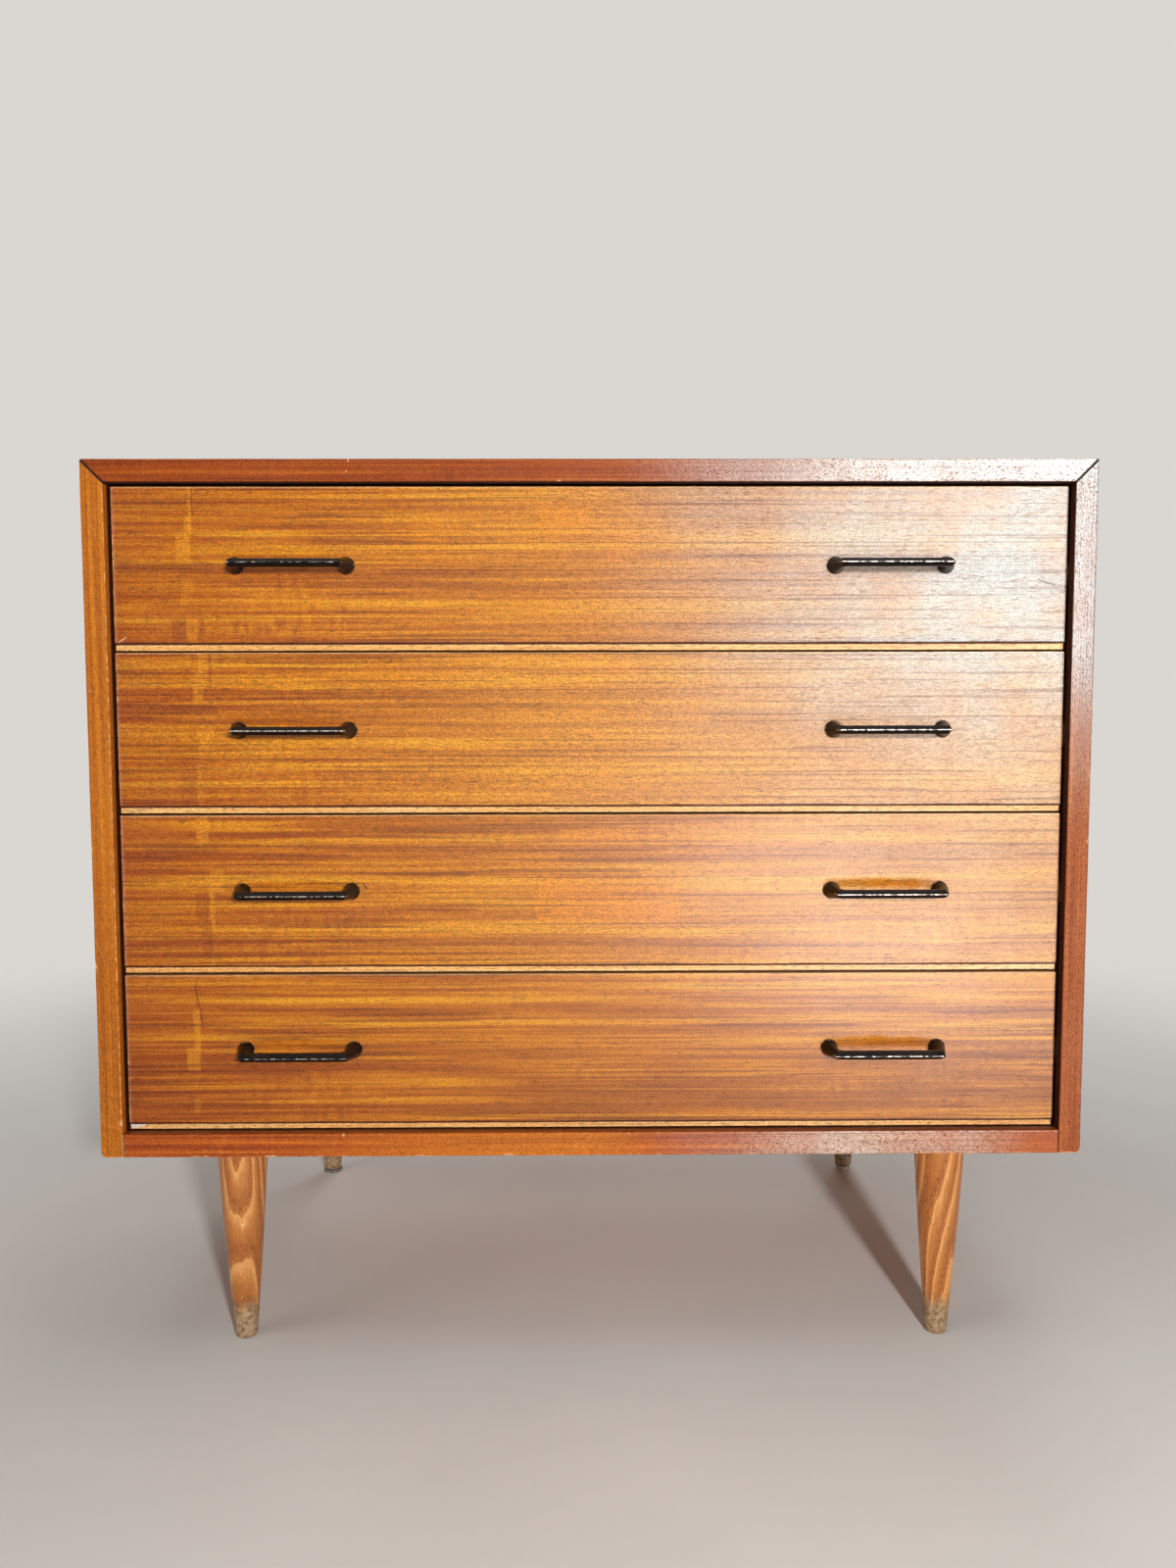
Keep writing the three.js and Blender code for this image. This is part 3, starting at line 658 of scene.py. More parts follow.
def banded(tree, grain, bands):
    """A level that changes smoothly across the grain, from (place in metres, level) pairs.

    The curve's places run from 0 to 1 over BAND_REACH metres. Slow noise bends the bands and fades them."""
    across = axes(tree, grain)[2]
    bent = sway(tree, across, fibres(tree, grain, length=0.25, width=0.06, detail=1.0), BAND_BEND)
    curved = add(tree, "ShaderNodeFloatCurve", {"Value": maths(tree, "DIVIDE", bent, BAND_REACH)})[0]
    mapping = curved.node.mapping
    curve = mapping.curves[0]
    while len(curve.points) < len(bands):
        curve.points.new(0.5, 0.5)
    for point, (where, height) in zip(curve.points, bands):
        point.location = (where / BAND_REACH, 0.5 + height)
    mapping.update()
    fade = fibres(tree, grain, length=0.15, width=0.03, detail=1.0)
    return times(tree, less(tree, curved, 0.5), remap(tree, fade, 0.3, 0.6, 0.4, 1.2))


def wood(name, tones, stripe=(0.5, 0.01), line=0.0012, drift=0.006, pore=(0.007, 0.0004), fine_depth=0.45,
         line_depth=0.35, pore_depth=0.45, grit=0.3, rough=0.40, coat=0.25, coat_rough=0.30, open_pores=0.3,
         wear=0.5, wear_tone=PALE, seam_tone=(34, 10, 6), bump=0.00005, bands=None, change=None, dull=None):
    """A wooden finish. bands are (place across the grain, level) pairs that lift or lower the stripes there,
    and change may repaint the colour before wear, dark joints and painted shade are laid over it. open_pores is
    how far the pores break the gloss, and dull makes a mask of lost gloss."""
    material, tree, shader = start_material(name)
    grain = mark(tree, "grain", "Vector")
    parts = use(tree, figure, Vector=grain, Stripe_Length=stripe[0], Stripe_Width=stripe[1], Line_Width=line,
                Drift=drift, Pore_Length=pore[0], Pore_Width=pore[1])
    marks = use(tree, scratch_group, Vector=grain, Amount=1.0)
    level = sway(tree, parts["Stripe"], parts["Fine"], fine_depth)
    level = maths(tree, "MULTIPLY_ADD", parts["Ripple"], RIPPLE_DEPTH, level)
    if bands:
        level = maths(tree, "ADD", level, banded(tree, grain, bands))
    tone = ramp(tree, level, tones)
    if change:
        tone = change(tree, grain, tone, parts)
    tone = paint(tree, tone, parts["Line"], LINE_TONE, line_depth)
    shade = maths(tree, "MULTIPLY_ADD", parts["Pore"], -pore_depth, 1.0)
    shade = times(tree, shade, remap(tree, parts["Grit"], 0.3, 0.7, 1 - grit, 1 + grit, smooth=False))
    tone = blend(tree, 1.0, tone, shade, "MULTIPLY")
    worn = wear_of(tree, grain, wear)
    tone = paint(tree, tone, worn, wear_tone)
    # Dark joints, and painted shade where a piece marks it
    tone = paint(tree, tone, mark(tree, "seam"), seam_tone, SEAM_AND_SHADE_DEPTH)
    tone = paint(tree, tone, marks["Mask"], wear_tone, SCRATCH_DEPTH)
    bare = maths(tree, "MAXIMUM", worn, times(tree, parts["Pore"], open_pores))
    bare = maths(tree, "MAXIMUM", bare, mark(tree, "seam"))
    if dull:
        bare = maths(tree, "MAXIMUM", bare, dull(tree, grain))
    gloss = remap(tree, marks["Smudge"], 0.3, 0.7, rough - 0.05, rough + 0.07)
    height = less(tree, parts["Fine"], maths(tree, "ADD", parts["Pore"], marks["Mask"]))
    feed(tree, shader, height, bump, Base_Color=tone, Specular_IOR_Level=0.15,
         Roughness=maths(tree, "MULTIPLY_ADD", bare, BARE_ROUGHER, gloss),
         Coat_Weight=remap(tree, bare, 0.0, 1.0, coat, 0.0), Coat_Roughness=coat_rough)
    print("material", name)
    return material


# %% [markdown]
# ## The faces' veneer
#
# The four faces come from leaves sliced one after another off the same log, so all show nearly the same
# stripes, and a fault across the log stands at nearly the same place near the left end of each. The fault
# jumps sideways every centimetre or two and shows as patches of gold and red-brown, which are read off as
# small areas, and so are the amber clouds near the middle. Painted shade darkens the left end, and painted
# light makes the right half lighter and mellower. A milky film of painted glare, a painted reflection of the
# window, lies on the right, and is left out above some handles where fingers have rubbed the gloss off.
# Painted shade darkens the lower arris of each face, and a lighter line runs along the upper one. Behind its
# front arris the thin veneer is darkened by painted shade, so that the gaps between the drawers look deep.

# %% Tones and places on the faces
# Painted shade of the gaps between the drawers: behind the faces' front arris and on the front boards' edges
GAP_SHADE = (64, 22, 8)
FACE_TONES = [(0.24, (148, 69, 5)), (0.39, (173, 90, 7)), (0.50, (189, 106, 9)), (0.61, (203, 124, 12)),
              (0.78, (219, 147, 24))]
GOLD, RUSSET, SHADE, AMBER = (226, 148, 26), (128, 50, 10), (92, 46, 18), (224, 134, 12)
# Where the painted light, a lighter and mellower tone, comes in from the left, and its strength on each face
MELLOW_LIGHT_TONE, MELLOW_LIGHT_REACH = (212, 147, 44), (-0.28, 0.0)
MELLOW_LIGHT = {1: 0.26, 2: 0.42, 3: 0.24, 4: 0.14}
# Painted shade that darkens the faces' left end
LEFT_SHADE_TONE, LEFT_SHADE_REACH, LEFT_SHADE_DEPTH = (148, 62, 8), (-0.38, -0.25), 0.38
# The faces' ends: pale with wear, and partly a painted sheen of the rounded arris catching the light
CHAFED_SHEEN_TONE, CHAFED_REACH = (206, 146, 116), 0.0042
# Heights above the lower arris for its painted shade, below the upper arris for a lighter line, and depths
# behind the front for the painted shade of the gaps
LOWER_ARRIS_SHADE, LOWER_ARRIS_SHADE_LINE = (78, 24, 2), (0.0009, 0.0021)
BRIGHT_TONE, BRIGHT_LINE = (255, 208, 146), (0.0018, 0.0006)
GAP_SHADE_LINE = (0.0010, 0.0016)
# Left, right, lowest and highest place above the front's lower edge, in mm, then strength, softness, colour
PATCHES = {
    1: [(-318.8, -316.2, 95, 129, 0.45, 1, GOLD), (-322.0, -317.6, 92, 106, 0.45, 1, GOLD),
        (-328.8, -317.6, 70, 93, 0.45, 1, GOLD), (-375.0, -300.0, 61, 70, 0.28, 1, SHADE),
        (-326.0, -317.5, 36, 56, 0.18, 1, GOLD), (-333.0, -322.0, 4, 24, 0.42, 1, RUSSET),
        (-322.0, -313.5, 6, 24, 0.25, 1, GOLD), (-42, 0, 95, 112, 0.5, 4, AMBER),
        (-142, -116, 76, 100, 0.4, 5, AMBER), (13, 37, 72, 93, 0.4, 4, AMBER)],
    2: [(-314.0, -306.4, 112, 129, 0.40, 1, GOLD), (-318.0, -310.5, 89, 114, 0.40, 1, GOLD),
        (-372.0, -299.0, 79, 87, 0.26, 1, SHADE), (-315.0, -303.0, 50, 67, 0.38, 1, GOLD),
        (-329.5, -316.8, 5, 45, 0.26, 1, RUSSET), (-316.8, -312.0, 5, 40, 0.20, 1, GOLD),
        (15, 37, 110, 122, 0.45, 3, AMBER), (78, 90, 75, 91, 0.3, 3, AMBER)],
    3: [(-318.8, -309.0, 105, 127, 0.40, 1, GOLD), (-362.0, -300.0, 98, 107, 0.24, 1, SHADE),
        (-308.5, -297.0, 67, 84, 0.40, 1, GOLD), (-320.5, -310.0, 45, 66, 0.34, 1, RUSSET),
        (-309.2, -304.8, 34, 66, 0.38, 1, GOLD), (-316.0, -309.0, 12, 45, 0.30, 1, RUSSET),
        (-309.0, -305.5, 4, 12, 0.45, 1, GOLD), (-45, 71, 40, 77, 0.5, 5, AMBER),
        (-26, 39, 106, 120, 0.45, 4, AMBER), (-67, -22, 73, 96, 0.35, 5, AMBER)],
    4: [(-325.0, -319.4, 67, 101, 0.42, 1, GOLD), (-331.0, -319.6, 50, 69, 0.42, 1, GOLD),
        (-319.4, -316.5, 88, 102, 0.30, 1, RUSSET), (-322.6, -320.6, 100, 128, 0.35, 1, RUSSET),
        (-326.0, -321.0, 14, 26, 0.22, 1, GOLD)]}
# Start and end of each stroke as (x, z) on the front, width, how strong it is, and its colour
STROKES = {
    1: [((0.3183, 0.6388), (0.3600, 0.6405), 0.0006, 0.4, (150, 96, 50)),
        ((0.3580, 0.6414), (0.3704, 0.6370), 0.0009, 0.85, (46, 20, 8)),
        ((0.3704, 0.6370), (0.3796, 0.6364), 0.0006, 0.7, (110, 64, 34)),
        ((-0.3775, 0.5920), (-0.3706, 0.5967), 0.0008, 0.5, (244, 214, 168)),
        ((0.3396, 0.6256), (0.3414, 0.6274), 0.0009, 0.8, (110, 74, 46)),
        ((0.2753, 0.6930), (0.2763, 0.6942), 0.0009, 0.6, (120, 80, 44)),
        ((-0.3160, 0.7135), (-0.3152, 0.6920), 0.0008, 0.6, (96, 40, 10))],
    2: [((0.0877, 0.5668), (0.0878, 0.5610), 0.0010, 0.7, (206, 112, 20)),
        ((0.0918, 0.5652), (0.0924, 0.5592), 0.0010, 0.6, (206, 112, 20)),
        ((-0.3753, 0.5270), (-0.3677, 0.5192), 0.0006, 0.35, (236, 176, 104)),
        ((-0.3045, 0.5830), (-0.3042, 0.5560), 0.0012, 0.4, (110, 40, 12))],
    3: [((-0.1847, 0.3974), (-0.1822, 0.3948), 0.0011, 0.8, (70, 26, 8)),
        ((-0.3087, 0.3700), (-0.3087, 0.3440), 0.0009, 0.5, (110, 44, 12))],
    4: [((-0.3228, 0.3140), (-0.3196, 0.2960), 0.0010, 0.55, (104, 40, 12)),
        ((-0.3196, 0.2960), (-0.3172, 0.2800), 0.0008, 0.4, (104, 40, 12))]}
# Height above the face's lower edge, and how much lighter or darker the stripes are there
FACE_BANDS = {
    1: [(0.002, -0.10), (0.007, 0.04), (0.016, 0.08), (0.026, 0.10), (0.040, -0.02), (0.046, -0.10),
        (0.056, -0.10), (0.068, 0.0), (0.088, 0.12), (0.096, -0.04), (0.104, 0.04), (0.112, 0.05),
        (0.121, -0.02)],
    2: [(0.002, -0.08), (0.010, 0.04), (0.026, 0.14), (0.036, 0.04), (0.045, 0.13), (0.058, 0.02),
        (0.072, -0.10), (0.082, -0.08), (0.098, 0.0), (0.107, 0.14), (0.121, -0.04)],
    3: [(0.002, -0.04), (0.012, 0.02), (0.019, -0.08), (0.027, 0.10), (0.040, 0.0), (0.055, 0.0),
        (0.069, 0.12), (0.080, -0.04), (0.090, -0.12), (0.104, -0.02), (0.121, -0.04)],
    4: [(0.002, -0.22), (0.008, -0.08), (0.020, -0.18), (0.035, -0.20), (0.050, -0.18), (0.062, -0.08),
        (0.074, 0.04), (0.088, -0.06), (0.104, 0.0), (0.116, 0.06), (0.122, -0.04)]}
print("patches", [len(rows) for rows in PATCHES.values()], "strokes", [len(rows) for rows in STROKES.values()])

# %% Painted glare and rubbed patches
# Painted glare: a milky film laid into the colour in place of the window's reflection
GLARE_ACROSS, GLARE_LEAN, GLARE_UP = (0.0, 0.38), 0.3, (0.22, 0.60)
GLARE_WARM, GLARE_COOL, GLARE_TURN = (206, 168, 122), (173, 188, 185), (0.44, 0.60)
CLOUD_SCALE, CLOUD_THIN, CLOUD_THICK = 16.0, 0.42, 0.80
PORE_CLEAR = 0.7
RUB_TONE, RUB_DEPTH = (204, 116, 14), 0.45
RUB_HEIGHT, RUB_HALF, RUB_RAGGED = 0.067, (0.048, 0.0050), 2.6
HANDLE_PLACE = 0.2385


def patched(tree, tone, number):
    """Lays the patches over the colour of one face."""
    bottom = low_high(f"drawer_{number}_front")[0][2]
    for left, right, low, high, depth, soft, shade in PATCHES[number]:
        mask = use(tree, patch_group, Vector=at(tree), Left=left / 1000, Right=right / 1000,
                   Low=bottom + low / 1000, High=bottom + high / 1000, Soft=soft)[0]
        tone = paint(tree, tone, mask, shade, depth)
    return tone


def waved(tree, grain, tone):
    """Reddish waves that stand across the grain near the lower left corner."""
    place = axes(tree, grain)
    wide = between(tree, place[0], (-0.338, -0.322), (-0.23, -0.20))
    high = between(tree, place[2], (0.006, 0.009), (0.016, 0.023))
    wave = fibres(tree, grain, length=0.007, width=0.016, detail=1.0)
    share = times(tree, wide, high, remap(tree, wave, 0.46, 0.58, 0.0, 0.42))
    return paint(tree, tone, share, (138, 54, 16))


def stroked(tree, tone, strokes):
    """Lays each stroke over the colour."""
    for start, end, width, depth, shade in strokes:
        along = (end[0] - start[0], 0.0, end[1] - start[1])
        mask = use(tree, stroke_group, Vector=at(tree), Start=(start[0], 0.0, start[1]), Along=along,
                   Width=width)[0]
        tone = paint(tree, tone, mask, shade, depth)
    return tone


def glare_clouds(tree, glare_share, pore, strength):
    """Breaks the painted glare into clouds and thins it over the pores."""
    cloud = clouds(tree, at(tree), CLOUD_SCALE, 3.0)
    thickness = remap(tree, cloud, 0.3, 0.7, CLOUD_THIN * strength, CLOUD_THICK * strength)
    return times(tree, glare_share, thickness, maths(tree, "MULTIPLY_ADD", pore, -PORE_CLEAR, 1.0))


def painted_glare(tree, tone, pore, reach, strength, rub=None, across=GLARE_ACROSS, glare_tone=None):
    """Mixes in the painted glare, a milky film that stands for the window's reflection: more to the right and
    upwards through the reach, in clouds, thin over the pores, and not where the rub mask is one. It is warm
    below and cool above, or has the glare tone."""
    place = axes(tree, at(tree))
    leaning = sway(tree, place[0], place[2], GLARE_LEAN)
    upward = remap(tree, place[2], *reach, 0.15, 1.0)
    glare_share = glare_clouds(tree, times(tree, remap(tree, leaning, *across), upward), pore, strength)
    if rub:
        glare_share = times(tree, glare_share, less(tree, 1.0, rub))
        tone = paint(tree, tone, rub, RUB_TONE, RUB_DEPTH)
    if glare_tone:
        return paint(tree, tone, glare_share, glare_tone)
    turning = paint(tree, colour(*GLARE_WARM), remap(tree, place[2], *GLARE_TURN), GLARE_COOL)
    return blend(tree, glare_share, tone, turning)


def rubbed(tree, grain):
    """A mask of patches just above the handles, where fingers have worn the gloss away and the painted glare is
    left out.
    """
    place = axes(tree, grain)
    across = less(tree, maths(tree, "ABSOLUTE", place[0]), HANDLE_PLACE)
    oval = add(tree, "ShaderNodeCombineXYZ", {
        0: maths(tree, "DIVIDE", across, RUB_HALF[0]),
        1: maths(tree, "DIVIDE", less(tree, place[2], RUB_HEIGHT), RUB_HALF[1])})[0]
    away = vectors(tree, "LENGTH", oval)
    ragged = maths(tree, "MULTIPLY_ADD", clouds(tree, grain, 60.0, 6.0), RUB_RAGGED, away)
    return remap(tree, ragged, 1.5, 2.6, 0.95, 0.0)


# %% Veneers


def face_change(number):
    """Everything that changes the colour of one drawer's face before wear is laid over it, painted light, glare
    and shade among it.
    """
    foot, crown = (corner[2] for corner in low_high(f"drawer_{number}_face"))

    def change(tree, grain, tone, parts):
        place = axes(tree, at(tree))
        # Painted light: the right half lighter and mellower
        tone = paint(tree, tone, remap(tree, place[0], *MELLOW_LIGHT_REACH, 0.0, MELLOW_LIGHT[number]), MELLOW_LIGHT_TONE)
        # Painted shade: the left end darker
        tone = paint(tree, tone, remap(tree, place[0], *LEFT_SHADE_REACH, LEFT_SHADE_DEPTH, 0.0), LEFT_SHADE_TONE)
        tone = patched(tree, tone, number)
        if number == 1:
            tone = waved(tree, grain, tone)
        # Worn ends, partly painted sheen
        end = less(tree, FACE_HALF, maths(tree, "ABSOLUTE", place[0]))
        tone = paint(tree, tone, remap(tree, end, 0.0, CHAFED_REACH, 0.5, 0.0), CHAFED_SHEEN_TONE)
        # Painted glare on the right and upper part, left out where the rub mask is
        tone = painted_glare(tree, tone, parts["Pore"], GLARE_UP, 1.0, rubbed(tree, grain) if number > 2 else None)
        tone = stroked(tree, tone, STROKES[number])
        # Painted shade along the face's lower arris
        dirt = remap(tree, place[2], foot + LOWER_ARRIS_SHADE_LINE[0], foot + LOWER_ARRIS_SHADE_LINE[1], 0.85, 0.0)
        tone = paint(tree, tone, dirt, LOWER_ARRIS_SHADE)
        bright = remap(tree, place[2], crown - BRIGHT_LINE[0], crown - BRIGHT_LINE[1], 0.0, 0.35)
        tone = paint(tree, tone, bright, BRIGHT_TONE)
        # Painted shade behind the face's front arris, where the gaps fall dark
        behind = remap(tree, place[1], FACE_FRONT + GAP_SHADE_LINE[0], FACE_FRONT + GAP_SHADE_LINE[1], 0.0, 0.9)
        return paint(tree, tone, behind, GAP_SHADE)
    return change


face_veneers = {
    number: wood(f"face_veneer_{number}", FACE_TONES, stripe=(0.7, 0.009), line=0.0030, drift=0.014,
                 fine_depth=1.15, line_depth=0.5, grit=0.36, open_pores=0.12, rough=0.42, coat=0.22,
                 seam_tone=(66, 20, 2), bands=bands, change=face_change(number),
                 dull=rubbed if number > 2 else None)
    for number, bands in FACE_BANDS.items()}

# %% [markdown]
# ## Finishes of the lippings, the rail and the boxes
#
# The lippings and the rail have the same painted glare on their front sides, a painted reflection of the
# window. On the rail it stops short of the right end after a sharp step, and the middle is golden. Painted
# shade darkens the boards' inner sides near the front, and the pale front boards' edges between a thin
# front line and their bare backs.

# %% Other woods
# Painted glare on the lippings and the rail, in place of the window's reflection
LIPPING_GLARE = (0.40, 0.70)
TOP_GLARE, TOP_GLARE_TONE = (0.08, 0.34), (219, 214, 206)
RAIL_GLARE, RAIL_EDGE, RAIL_END = (0.03, 0.24), (0.284, 0.288), (0.30, 0.365)
RAIL_GLOW, RAIL_GLOW_OUT = (-0.28, -0.06), (0.0, 0.07)
RAIL_GOLD, RAIL_GLARE_TONE = (226, 134, 6), (206, 186, 168)
# Painted shade inside the case near its front
INSIDE_SHADE_TONE, INSIDE_SKIN, INSIDE_DEPTH = (52, 12, 4), (0.0002, 0.0006), (-0.19, -0.13)
PALE_LINE, BARE_BACK = (0.0005, 0.0009), (0.0020, 0.0012)
DULL_UP_TO = (0.38, 0.66)
TOP_CHIPS = [((-0.0262, 0.7172), (-0.0244, 0.7180), 0.0012, 0.8, (232, 190, 130)),
             ((-0.1903, 0.7330), (-0.1899, 0.7340), 0.0011, 0.7, (226, 190, 140)),
             ((-0.1921, 0.7249), (-0.1915, 0.7256), 0.0009, 0.6, (226, 180, 120))]
JOINT_LINE = [((0.0003 - OPENING_HALF, 0.1755), (0.0004 - OPENING_HALF, 0.1940), 0.0010, 0.75, (214, 170, 130))]


def inside_shaded(tree, grain, tone, parts):
    """Painted shade: darkens what lies inside the case near its front, where the gaps fall dark."""
    place = axes(tree, at(tree))
    middle, half = (OPENING_BOTTOM + OPENING_TOP) / 2, (OPENING_TOP - OPENING_BOTTOM) / 2
    beside = less(tree, maths(tree, "ABSOLUTE", place[0]), OPENING_HALF)
    above = less(tree, maths(tree, "ABSOLUTE", less(tree, place[2], middle)), half)
    inside = remap(tree, maths(tree, "MAXIMUM", beside, above), *INSIDE_SKIN, 1.0, 0.0)
    return paint(tree, tone, times(tree, inside, remap(tree, place[1], *INSIDE_DEPTH, 0.95, 0.0)), INSIDE_SHADE_TONE)


def on_front(tree, tone, painted):
    """Lays the painted colour on the front side of a lipping alone."""
    depth = axes(tree, at(tree))[1]
    front = remap(tree, depth, lipping_low[1] + 0.0003, lipping_low[1] + 0.0012, 1.0, 0.0)
    return blend(tree, front, tone, painted)


def with_glare(strength, strokes=(), across=GLARE_ACROSS, glare_tone=None):
    """The painted glare and a few strokes, on the front side of a lipping."""
    def change(tree, grain, tone, parts):
        painted = painted_glare(tree, tone, parts["Pore"], LIPPING_GLARE, strength, None, across, glare_tone)
        return on_front(tree, tone, stroked(tree, painted, strokes))
    return change


def rail_change(tree, grain, tone, parts):
    """A golden middle, painted glare that stops short of the right end after a sharp step, and the joint's
    line.
    """
    along = axes(tree, at(tree))[0]
    painted = paint(tree, tone, between(tree, along, RAIL_GLOW, RAIL_GLOW_OUT, 0.45), RAIL_GOLD)
    # Painted glare on the rail's front, stopping short of its right end
    glare_share = between(tree, along, RAIL_GLARE, RAIL_EDGE, 1.0, 0.72)
    glare_share = times(tree, glare_share, remap(tree, along, *RAIL_END, 1.0, 0.0))
    painted = paint(tree, painted, glare_clouds(tree, glare_share, parts["Pore"], 1.2), RAIL_GLARE_TONE)
    return on_front(tree, tone, stroked(tree, painted, JOINT_LINE))


def edge_shaded(tree, grain, tone, parts):
    """Painted shade on the edges of a front board, between a pale line along its front and its bare back, so
    that the gaps between the drawers look dark.
    """
    depth = axes(tree, at(tree))[1]
    start, end = (corner[1] for corner in low_high("drawer_1_front"))
    share = times(tree, remap(tree, depth, start + PALE_LINE[0], start + PALE_LINE[1], 0.0, 0.9),
                  remap(tree, depth, end - BARE_BACK[0], end - BARE_BACK[1], 1.0, 0.0))
    return paint(tree, tone, share, GAP_SHADE)


def dull_low(tree, grain):
    """A mask of lost gloss on the lower part of the right lipping, where mopping and knees have dulled it."""
    return remap(tree, axes(tree, at(tree))[2], *DULL_UP_TO, 0.95, 0.0)


panel_veneer = wood("panel_veneer", FACE_TONES, stripe=(0.8, 0.014), wear=0.5, change=inside_shaded)
LIPPING = dict(stripe=(0.25, 0.003), pore=(0.0020, 0.0006), pore_depth=0.34, fine_depth=0.45,
               coat_rough=0.22, grit=0.3, open_pores=0.9, wear_tone=(222, 162, 98))
lipping_woods = {
    "left": wood("lipping_wood", [(0.25, (158, 80, 4)), (0.5, (190, 105, 6)), (0.75, (208, 128, 20))],
                 change=with_glare(1.0, JOINT_LINE), coat=0.2, **LIPPING),
    "right": wood("shaded_lipping", [(0.25, (132, 50, 10)), (0.5, (158, 70, 22)), (0.75, (184, 96, 40))],
                  change=with_glare(1.15), dull=dull_low, coat=0.22, **LIPPING)}
red_lipping = wood("red_lipping", [(0.25, (117, 40, 0)), (0.5, (147, 61, 0)), (0.75, (177, 88, 6))],
                   change=with_glare(1.6, TOP_CHIPS, TOP_GLARE, TOP_GLARE_TONE), coat=0.18, **LIPPING)
rail_wood = wood("rail_wood", [(0.25, (142, 52, 0)), (0.5, (176, 77, 2)), (0.75, (205, 108, 16))],
                 change=rail_change, coat=0.36, **LIPPING)
front_wood = wood("front_board_wood", [(0.3, (232, 158, 82)), (0.5, (244, 180, 103)), (0.7, (251, 199, 130))],
                  stripe=(0.2, 0.004), pore=(0.006, 0.0006), coat=0.2, rough=0.5, wear=0.3, change=edge_shaded)
box_wood = wood("drawer_box_wood", [(0.3, (196, 152, 104)), (0.5, (216, 176, 128)), (0.7, (228, 194, 150))],
                stripe=(0.3, 0.008), coat=0.0, rough=0.6, wear=0.2, bump=0.0001)
ply_wood = wood("plywood_face", [(0.3, (176, 130, 84)), (0.5, (200, 156, 108)), (0.7, (216, 178, 134))],
                stripe=(0.5, 0.03), drift=0.05, coat=0.0, rough=0.66, wear=0.1, bump=0.0001)

# %% [markdown]
# ## Leg wood
#
# The legs show the rings as arches, pores in the dark part of each year, and a foot that mopping has bleached
# to grey. The foot's mask is the height above the floor, made ragged by noise.

# %% Material for the legs
LIGHT, MID, DARK = (233, 166, 96), (207, 132, 64), (175, 99, 41)
FOOT_GREYS = [(0.3, (104, 84, 58)), (0.45, (150, 128, 96)), (0.6, (176, 158, 128))]
FOOT_REACH, FOOT_RAGGED = (0.022, 0.04), 0.03

leg_wood, tree, shader = start_material("leg_wood")
grain = mark(tree, "grain", "Vector")
rings = use(tree, rings_group, Vector=grain, Year=0.0046, Wobble=0.8)[0]
parts = use(tree, figure, Vector=grain, Stripe_Length=0.2, Stripe_Width=0.004, Line_Width=0.0007, Drift=0.002,
            Pore_Length=0.004, Pore_Width=0.0005)
tone = ramp(tree, sway(tree, rings, parts["Fine"], 0.5),
            [(0.0, LIGHT), (0.12, LIGHT), (0.3, MID), (0.8, DARK), (1.0, MID)])
speck = times(tree, parts["Pore"], remap(tree, rings, 0.3, 0.9, 0.25, 0.75))
tone = paint(tree, tone, speck, (70, 34, 14))
mottle = clouds(tree, grain, 260.0, 4.0)
foot = remap(tree, sway(tree, axes(tree, grain)[0], mottle, FOOT_RAGGED), *FOOT_REACH, 1.0, 0.0)
tone = blend(tree, times(tree, foot, 0.85), tone, ramp(tree, mottle, FOOT_GREYS))
tone = paint(tree, tone, wear_of(tree, grain, 0.6), (232, 190, 130))
feed(tree, shader, less(tree, times(tree, mottle, foot), parts["Pore"]), 0.00012, Base_Color=tone,
     Roughness=remap(tree, foot, 0.0, 1.0, 0.36, 0.75), Coat_Weight=remap(tree, foot, 0.0, 1.0, 0.4, 0.0),
     Coat_Roughness=0.24, Specular_IOR_Level=0.2)
print("material", leg_wood.name)

# %% [markdown]
# ## Metal, felt and plastic
#
# The handles are cast metal under a dark brown lacquer that has worn through along the ridge. The plates and
# screws are zinc-coated steel. Under the back feet sit a grey felt disc and an old pale glide. All are one
# clouded tone, so one function makes them.

# %% Materials without grain
BARE_METAL = (206, 196, 184)


def clouded_finish(name, scale, detail, stops, roughness, distance, strength=1.0, bare=None, **inputs):
    """One noise picks the tone, the roughness and the height. bare is how far wear lays open the metal."""
    material, tree, shader = start_material(name)
    here = at(tree)
    cloud = clouds(tree, here, scale, detail)
    tone = ramp(tree, cloud, stops)
    if bare:
        worn = wear_of(tree, here, bare, Patch=0.0025)
        tone = paint(tree, tone, worn, BARE_METAL)
        inputs["Metallic"] = times(tree, worn, 0.85)
    feed(tree, shader, cloud, distance, strength, Base_Color=tone,
         Roughness=remap(tree, cloud, 0.3, 0.7, *roughness), **inputs)
    return material


def soft_pad(name, dark, light, scale):
    return clouded_finish(name, scale, 6.0, [(0.35, dark), (0.65, light)], (0.75, 0.95), 0.0003)


dark_lacquer = clouded_finish(
    "dark_lacquer", 90.0, 3.0, [(0.35, (7, 2, 1)), (0.6, (18, 6, 3)), (0.8, (38, 16, 9))], (0.26, 0.42),
    0.0001, 0.6, bare=0.46, Specular_IOR_Level=0.15)
zinc = clouded_finish(
    "zinc_steel", 180.0, 5.0, [(0.3, (128, 124, 116)), (0.6, (172, 170, 164)), (0.8, (196, 194, 190))],
    (0.3, 0.5), 0.00005, 0.5, Metallic=0.9)
felt = soft_pad("grey_felt", (84, 80, 78), (150, 146, 142), 900.0)
glide = soft_pad("old_glide", (150, 146, 128), (208, 204, 186), 300.0)
filler = soft_pad("old_filler", (214, 196, 182), (246, 238, 230), 500.0)
print("materials", len(bpy.data.materials))

